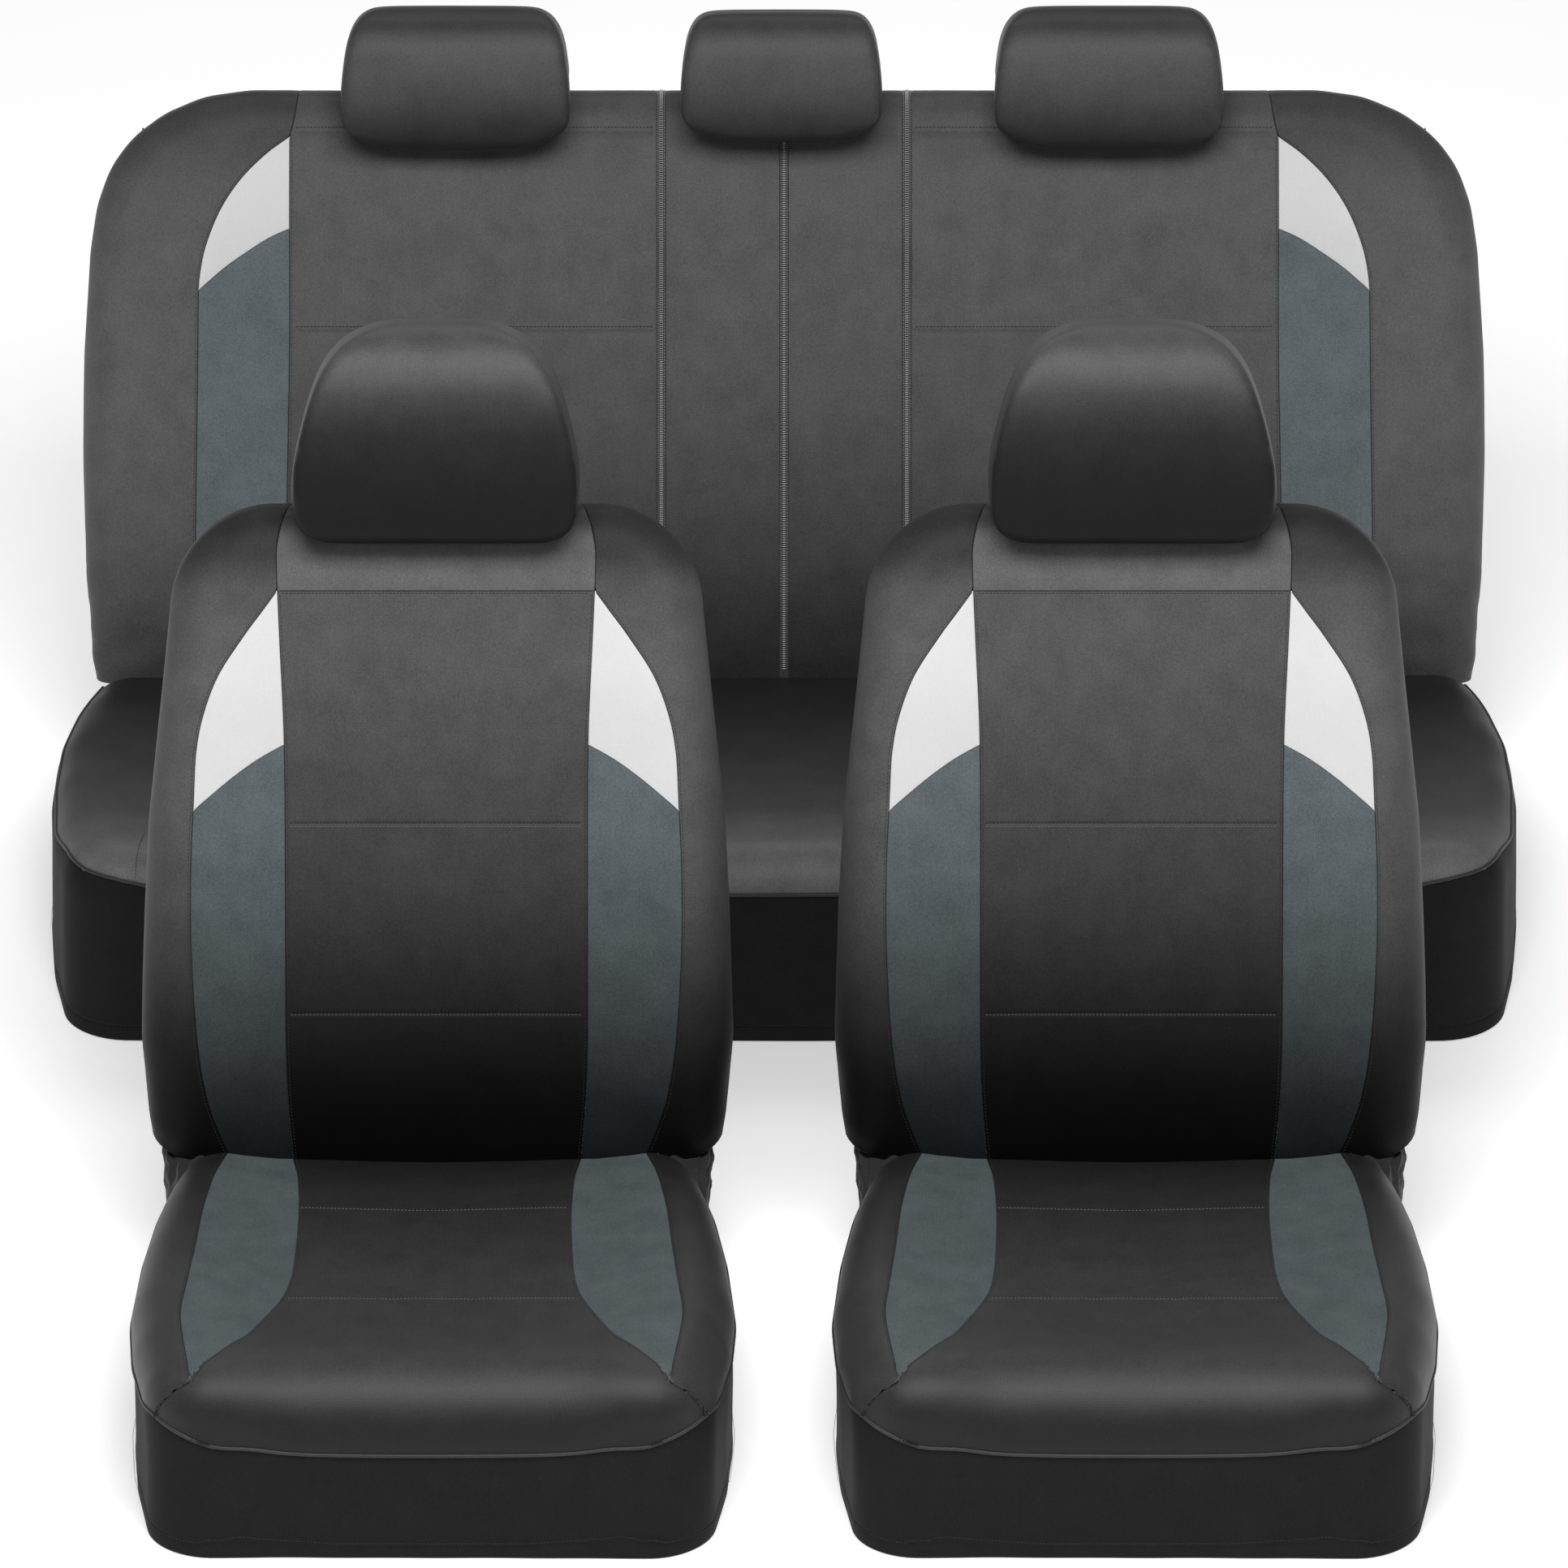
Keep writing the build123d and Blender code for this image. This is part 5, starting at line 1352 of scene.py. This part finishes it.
bp["bolster"] = sewn(bench, None, bol_left, brim, curve([bol_left[0], (600, -22), (640, -19), brim[0]]),
                     np.array([brim[-1], brim[-1]]), step=6.0, seed=54, extra=bench_bolster_extra)
cl, cr = vline(ZE, -26, B_TOP_U), vline(ZIP_X - ZE, -26, B_TOP_U)
bp["centre"] = sewn(bench, None, cl, cr, line2(cl[0], cr[0]), line2(cl[-1], cr[-1]), step=6.0, seed=55)
bro = bench_rear.offset(B_REAR_E)[: len(bench_rear.C) // 2 + 1]
bro = bro[bro[:, 1] > 300]
kb = int(np.argmax(bro[:, 0] * 0.8 + bro[:, 1]))
rear_side_rail, rear_top_rail = bro[: kb + 1], bro[kb:]
rt = rear_top_rail[rear_top_rail[:, 0] > ZIP_X + ZE]
rt = np.concatenate([rt, [(ZIP_X + ZE, 513 + B_REAR_E)]])
rl_ = vline(ZIP_X + ZE, 300, 513 + B_REAR_E)
hem_g = gathers(300.0, 1.6, 26.0, 8)
bp["rear"] = sewn(bench_rear, None, rl_, rear_side_rail, line2(rl_[0], rear_side_rail[0]), rt[::-1], step=7.0,
                  seed=56, lines_b=(13.0,), extra=hem_g)
r0, r1 = vline(ZE, 300, 513 + B_REAR_E), vline(ZIP_X - ZE, 300, 513 + B_REAR_E)
bp["rear_centre"] = sewn(bench_rear, None, r0, r1, line2(r0[0], r1[0]), line2(r0[-1], r1[-1]), step=7.0,
                         seed=58, lines_b=(13.0,), extra=hem_g)


def zip_patch(shell, x0, x1, w0, w1):
    l, r = vline(x0, w0, w1), vline(x1, w0, w1)
    return sewn(shell, None, l, r, line2(l[0], r[0]), line2(l[-1], r[-1]), step=6.0, seams="", puff=0.1, pucker=0, seed=60)


def zip_half(name, node, body, x0, x1, sides, extra_pairs=()):
    c = Cloth()
    put(c, bench_p, zip_patch(bench, x0, x1, -24, B_TOP_U), sides=sides)
    put(c, bench_r, zip_patch(bench_rear, x0, x1, 332, 513 + B_REAR_E), sides=sides)
    return c.build(name, TAPE, body, (node,), thick=1.2, slot="zip_tape")


def zip_rows(body, name, xs, tooth):
    """Coil halves and light stitch rows of a zip, on one body."""
    th, tl = Threads(), Threads()
    thr, tlr = Threads(), Threads()
    for x0, x1 in tooth:
        teeth(th, bench, x0, x1, -3, B_TOP_U - 1)
        teeth(thr, bench_rear, x0, x1, 334, 513 + B_REAR_E)
    for x in xs:
        stitch(tl, bench, vline(x, -4, B_TOP_U), pitch=3.2, length=2.5, r=0.33, lift=0.12)
        mid = ZIP_X * round(x / ZIP_X)
        stitch(tlr, bench_rear, vline(x + math.copysign(2.8, x - mid), 334, 513 + B_REAR_E), pitch=3.2, length=2.5, r=0.33, lift=0.12)
    th.build(name + "_coil", bench_p, TEETH, body, "zip_tape")
    thr.build(name + "_rear_coil", bench_r, TEETH, body, "zip_tape")
    tl.build(name + "_stitching", bench_p, THREAD_ZIP, body, "zip_tape")
    tlr.build(name + "_rear_stitching", bench_r, THREAD_ZIP, body, "zip_tape")


THREAD_ZIP = plain("zip_thread", (0.26, 0.26, 0.265), 0.5)

for tag, sides, sg in (("left", "l", -1), ("right", "r", 1)):
    body = "bench_" + tag + "_section"
    T_ = "bench_" + tag + "_"
    for key, node, mat, slot in (("main", "main_panel", BENCH_CLOTH, "cover_charcoal"), ("grey", "grey_insert", BENCH_GREY, "insert_grey"),
                                 ("white", "white_accent", WHITE, "accent_white"), ("bolster", "bolster", BENCH_SIDE, "cover_charcoal")):
        c = Cloth()
        put(c, bench_p, bp[key], sides=sides)
        c.build(T_ + node + "_cloth", mat, body, (T_ + node,), slot=slot)
    c = Cloth()
    put(c, bench_r, bp["rear"], sides=sides)
    c.build(T_ + "rear_cloth", BACKING, body, (T_ + "rear_flap",), slot="backing_knit", held="hung")
    zip_half(T_ + "zip_tape", T_ + "zip_half", body, ZIP_X + 0.05, ZIP_X + ZE + 0.6, sides)
    zip_rows(body, T_ + "zip", (sg * (ZIP_X + 3.0),), ((sg * (ZIP_X + 0.15), sg * (ZIP_X + 1.7)),))
    th = Threads()
    m = np.array([sg, 1.0])
    for line, d, pn in ((BI, -2.3, "main"), (BO, 2.2, "bolster"), (BA, 2.2, "bolster")):
        P, n = on_shell(bench, beside(line, d))
        P = P + n * cloth_lift(bp[pn], beside(line, d))[:, None]
        th.row(P * [sg, 1, 1], n * [sg, 1, 1])
    for w in (329.0, 520.0):
        P, n = on_shell(bench, line2((ZIP_X + 8, w), (470, w)))
        P = P + n * cloth_lift(bp["main"], line2((ZIP_X + 8, w), (470, w)))[:, None]
        th.row(P * [sg, 1, 1], n * [sg, 1, 1], r=0.5, lift=0.15)
    th.build(T_ + "stitching", bench_p, THREAD, body, "cover_charcoal")
    th = Threads()
    for w in (329.0, 520.0):
        P, n = on_shell(bench, line2((ZIP_X + 8, w - 3.4), (470, w - 3.4)))
        P = P + n * cloth_lift(bp["main"], line2((ZIP_X + 8, w - 3.4), (470, w - 3.4)))[:, None]
        th.row(P * [sg, 1, 1], n * [sg, 1, 1], length=2.6, r=0.32, lift=0.0)
    th.build(T_ + "topstitch", bench_p, THREAD_LIGHT, body, "cover_charcoal")

c = Cloth()
put(c, bench_p, bp["centre"], sides="rl")
c.build("bench_centre_cloth", BENCH_CLOTH, "bench_centre_section", ("bench_centre_panels",), slot="cover_charcoal")
c = Cloth()
put(c, bench_r, bp["rear_centre"], sides="rl")
c.build("bench_centre_rear_cloth", BACKING, "bench_centre_section", ("bench_centre_rear_flap",), slot="backing_knit", held="hung")
zip_half("bench_centre_side_tapes", "bench_centre_zip_halves", "bench_centre_section", ZIP_X - ZE - 0.6, ZIP_X - 0.05, "rl")
zip_half("bench_centre_zip_tape", "bench_centre_zip", "bench_centre_section", 0.0, ZE + 0.6, "rl")
zip_rows("bench_centre_section", "bench_centre_zips",
         (ZIP_X - 3.0, -ZIP_X + 3.0, 3.0, -3.0),
         ((ZIP_X - 1.7, ZIP_X - 0.15), (-ZIP_X + 0.15, -ZIP_X + 1.7), (-1.6, 1.6)))
for n_ in ("left", "middle", "right"):
    keep_node("bench_zip_slider_" + n_, METAL, 0.3)

for tag, face, dx in (("left", outboard_face, -315), ("right", outboard_face, 311.5), ("centre", centre_face, -2.5)):
    headrest_object("bench_" + tag + "_headrest_cloth", face * (0.965, 1.0), rear_side, bench_p, "bench_" + tag + "_headrest",
                    ("bench_" + tag + "_headrest_cover",), (80 if abs(dx) > 50 else 68, -54, -4), 560, 15 + int(dx) // 100,
                    "bench_" + tag + "_headrest_elastic", None, dx=float(dx), mat=BENCH_REST_CLOTH)

# ------------------------------------------------------------------ bench cushion
B_TOP, B_TILT = 183.0, 4.5
TAN_B = math.tan(math.radians(B_TILT))
BL = 468.4
BENCH_SEAT = [(667, -BL), (684, -395), (696, -312), (699, -220), (693, -120), (675, 0), (0, 0)]
BENCH_SEAT_R = [0, 300, 300, 400, 260, 64, 0]


def bench_seat_crown(U):
    x, v = np.abs(U[:, 0]), -U[:, 1]
    n = 3.5 * np.exp(-((v - 70) / 60) ** 2)
    n += 3.0 * wave_noise(np.column_stack([U * [1, 1.6], np.zeros(len(U))]), 420, 81, 2)
    n -= 6.0 * smooth(400, 468, v)
    n -= 3.0 * np.exp(-((x) / 160) ** 2) * smooth(100, 260, v)
    return n


bseat = Shell(rounded(BENCH_SEAT, BENCH_SEAT_R), 43.0, 400.0, 0, bench_seat_crown)


def bench_seam_height(O):
    x, v = np.abs(O[:, 0]), -O[:, 1]
    z = 148.0 + 15.0 * smooth(540, 650, x)
    return z - 16 * smooth(30, 140, v) - 14 * smooth(140, 460, v)


bs_e = np.convolve(np.pad(seam_run(bseat, bench_seam_height, B_TOP, TAN_B), 7, mode="edge"), kk, "valid")
bs_seam = bseat.C + bseat.N * bs_e[:, None]
bs_floor_e = seam_run(bseat, floor_height, B_TOP, TAN_B)
nb_ = len(bs_seam) // 2
kp = bseat.outline[: nb_ + 1, 1] > -BL
bright = bs_seam[: nb_ + 1][kp]
bout = bseat.outline[: nb_ + 1][kp]
bc = int(((bout - [668, -22]) ** 2).sum(1).argmin())
b_side, b_front = bright[: bc + 1], bright[bc:]
b_front_full = np.concatenate([b_front * M2, b_front[::-1][1:]])
bench_top = sewn(bseat, None, b_side * M2, b_side, line2(b_side[0] * M2, b_side[0]), b_front_full, step=8.0, seed=61, roll=1.2)
bench_skirt = skirt_patch(bseat, bs_e, bs_floor_e, -BL, 43, step=8.5, swell=0.8)
bseat_p = seat_frame(0, 979, B_TILT, B_TOP)
c = Cloth()
put(c, bseat_p, bench_top, sides="w")
c.build("bench_cushion_top_cloth", BENCH_SEAT_CLOTH, "cushions", ("bench_cushion_top_panel",), slot="cover_charcoal")
c = Cloth()
finish_skirt(c, bseat_p, bench_skirt)
c.build("bench_cushion_skirt_cloth", SKIRT, "cushions", ("bench_cushion_skirt",), slot="cover_charcoal", held="hung")
P = bseat.at(bs_seam[bseat.outline[:, 1] > -BL + 0.5])
tube("bench_cushion_piping", P, 1.9, CHARCOAL, "cushions", bseat_p)
th = Threads()
he = seam_run(bseat, floor_height, B_TOP, TAN_B) - 16
stitch(th, bseat, (bseat.C + bseat.N * he[:, None])[bseat.outline[:, 1] > -BL + 1])
for sgn in (-1, 1):
    d0 = bseat.unroll(curve([(612, -6), (608, -40), (600, -90)]))
    P, n = on_shell(bseat, d0)
    th.row(P * [sgn, 1, 1], n * [sgn, 1, 1])
th.build("bench_cushion_stitching", bseat_p, THREAD, "cushions", "cover_charcoal")

c = Cloth()
fa, fb = np.meshgrid(np.linspace(-600, 600, 180), np.linspace(0, 1, 14))
P = np.stack([fa, 1446 + 78 * fb, 134 - 22 * fb - 32 * fb ** 2], -1)
P[..., 1] += 2.0 * np.sin(fa / 23.0 + 2 * fb) * fb + Y_SHIFT
P[..., 2] += 3.0 * np.sin(fa / 37.0 + 1.0) * fb
c.add(P * MM, np.stack([fa, fb * 73], -1), False)
c.build("bench_tuck_cloth", BACKING, "cushions", ("bench_tuck_flap",), thick=1.6, slot="backing_knit", held="folded")


# ------------------------------------------------------------------ straps
def strap_patch(c, yz, x, width=25.0, seed=0):
    line = curve([(a, b) for a, b in yz], 4.0)
    fb = np.linspace(-width / 2, width / 2, 9)
    h = len(line)
    s = lengths(line)
    t = np.gradient(line, axis=0)
    t /= np.linalg.norm(t, axis=1)[:, None]
    nn = np.stack([-t[:, 1], t[:, 0]], 1)
    wob = 0.5 * np.sin(s / 26.0 + seed)[:, None] * (fb[None] / 12.5) * np.sin(np.pi * s / s[-1])[:, None]
    P = np.empty((h, len(fb), 3))
    P[..., 0] = x + fb[None]
    P[..., 1] = line[:, 0:1] + nn[:, 0:1] * wob + Y_SHIFT
    P[..., 2] = np.maximum(line[:, 1:2] + nn[:, 1:2] * wob, 1.4)
    c.add(P * MM, np.stack(np.meshgrid(fb, s), -1), False)


c = Cloth()
for sx in (-SEAT_X, SEAT_X):
    strap_patch(c, [(9.5, 26), (11, 12), (17, 9), (60, 9), (150, 9), (246, 9)], sx, seed=1)
    strap_patch(c, [(539, 90), (534, 60), (520, 22), (500, 11), (470, 9), (364, 9), (346, 14.3), (296, 14.3)], sx, seed=2)
for sx in (-420, 420):
    strap_patch(c, [(1522, 76), (1516, 50), (1500, 20), (1480, 10), (1455, 8), (1380, 8), (1300, 8)], sx, seed=3)
st = c.build("under_seat_webbing", WEB, "cushions", ("under_seat_straps",), thick=1.8, slot="webbing", held="laid")
st.modifiers["cloth"].offset = 0
keep_node("buckle_receivers", PLASTIC)
keep_node("strap_hooks", STEEL, 0.2)

# ------------------------------------------------------------------ floor, light, camera
fm, nt, p_ = material("pale_floor")
p_.inputs["Base Color"].default_value = (0.93, 0.93, 0.93, 1)
p_.inputs["Emission Color"].default_value = (1, 1, 1, 1)
p_.inputs["Emission Strength"].default_value = 0.34
p_.inputs["Roughness"].default_value = 0.7
p_.inputs["Specular IOR Level"].default_value = 0.2
bpy.ops.mesh.primitive_plane_add(size=40, location=(0, 6, -0.0005))
floor = bpy.context.object
floor.name = "floor"
floor.data.materials.append(fm)


def softbox(name, loc, target, size, size_y, power, spread=math.pi):
    d = bpy.data.lights.new(name, "AREA")
    d.shape, d.size, d.size_y, d.energy, d.spread = "RECTANGLE", size, size_y, power, spread
    o = bpy.data.objects.new(name, d)
    bpy.context.scene.collection.objects.link(o)
    o.location = loc
    import mathutils
    v = mathutils.Vector(target) - mathutils.Vector(loc)
    o.rotation_euler = v.to_track_quat("-Z", "Y").to_euler()
    return o


softbox("key_box", (0, -2.9, 4.4), (0, 0, 0.3), 3.6, 1.8, 250)
softbox("rear_box", (0, 3.5, 4.0), (0, 0.3, 0.6), 3.0, 1.5, 40)
world = bpy.data.worlds.new("studio")
bpy.context.scene.world = world
world.use_nodes = True
bg = world.node_tree.nodes["Background"]
bg.inputs[0].default_value = (1, 1, 1, 1)
bg.inputs[1].default_value = 0.2
bpy.context.scene.view_settings.view_transform = "Standard"

cam = bpy.data.cameras.new("cam")
cam.lens, cam.sensor_width, cam.clip_end, cam.clip_start = 499.083, 36.0, 60.0, 1.0
co = bpy.data.objects.new("cam", cam)
bpy.context.scene.collection.objects.link(co)
el = math.radians(28)
co.location = (0, (600 + Y_SHIFT) * MM - 20 * math.cos(el), 0.477104 + 20 * math.sin(el))
co.rotation_euler = (math.radians(62), 0, 0)
bpy.context.scene.camera = co
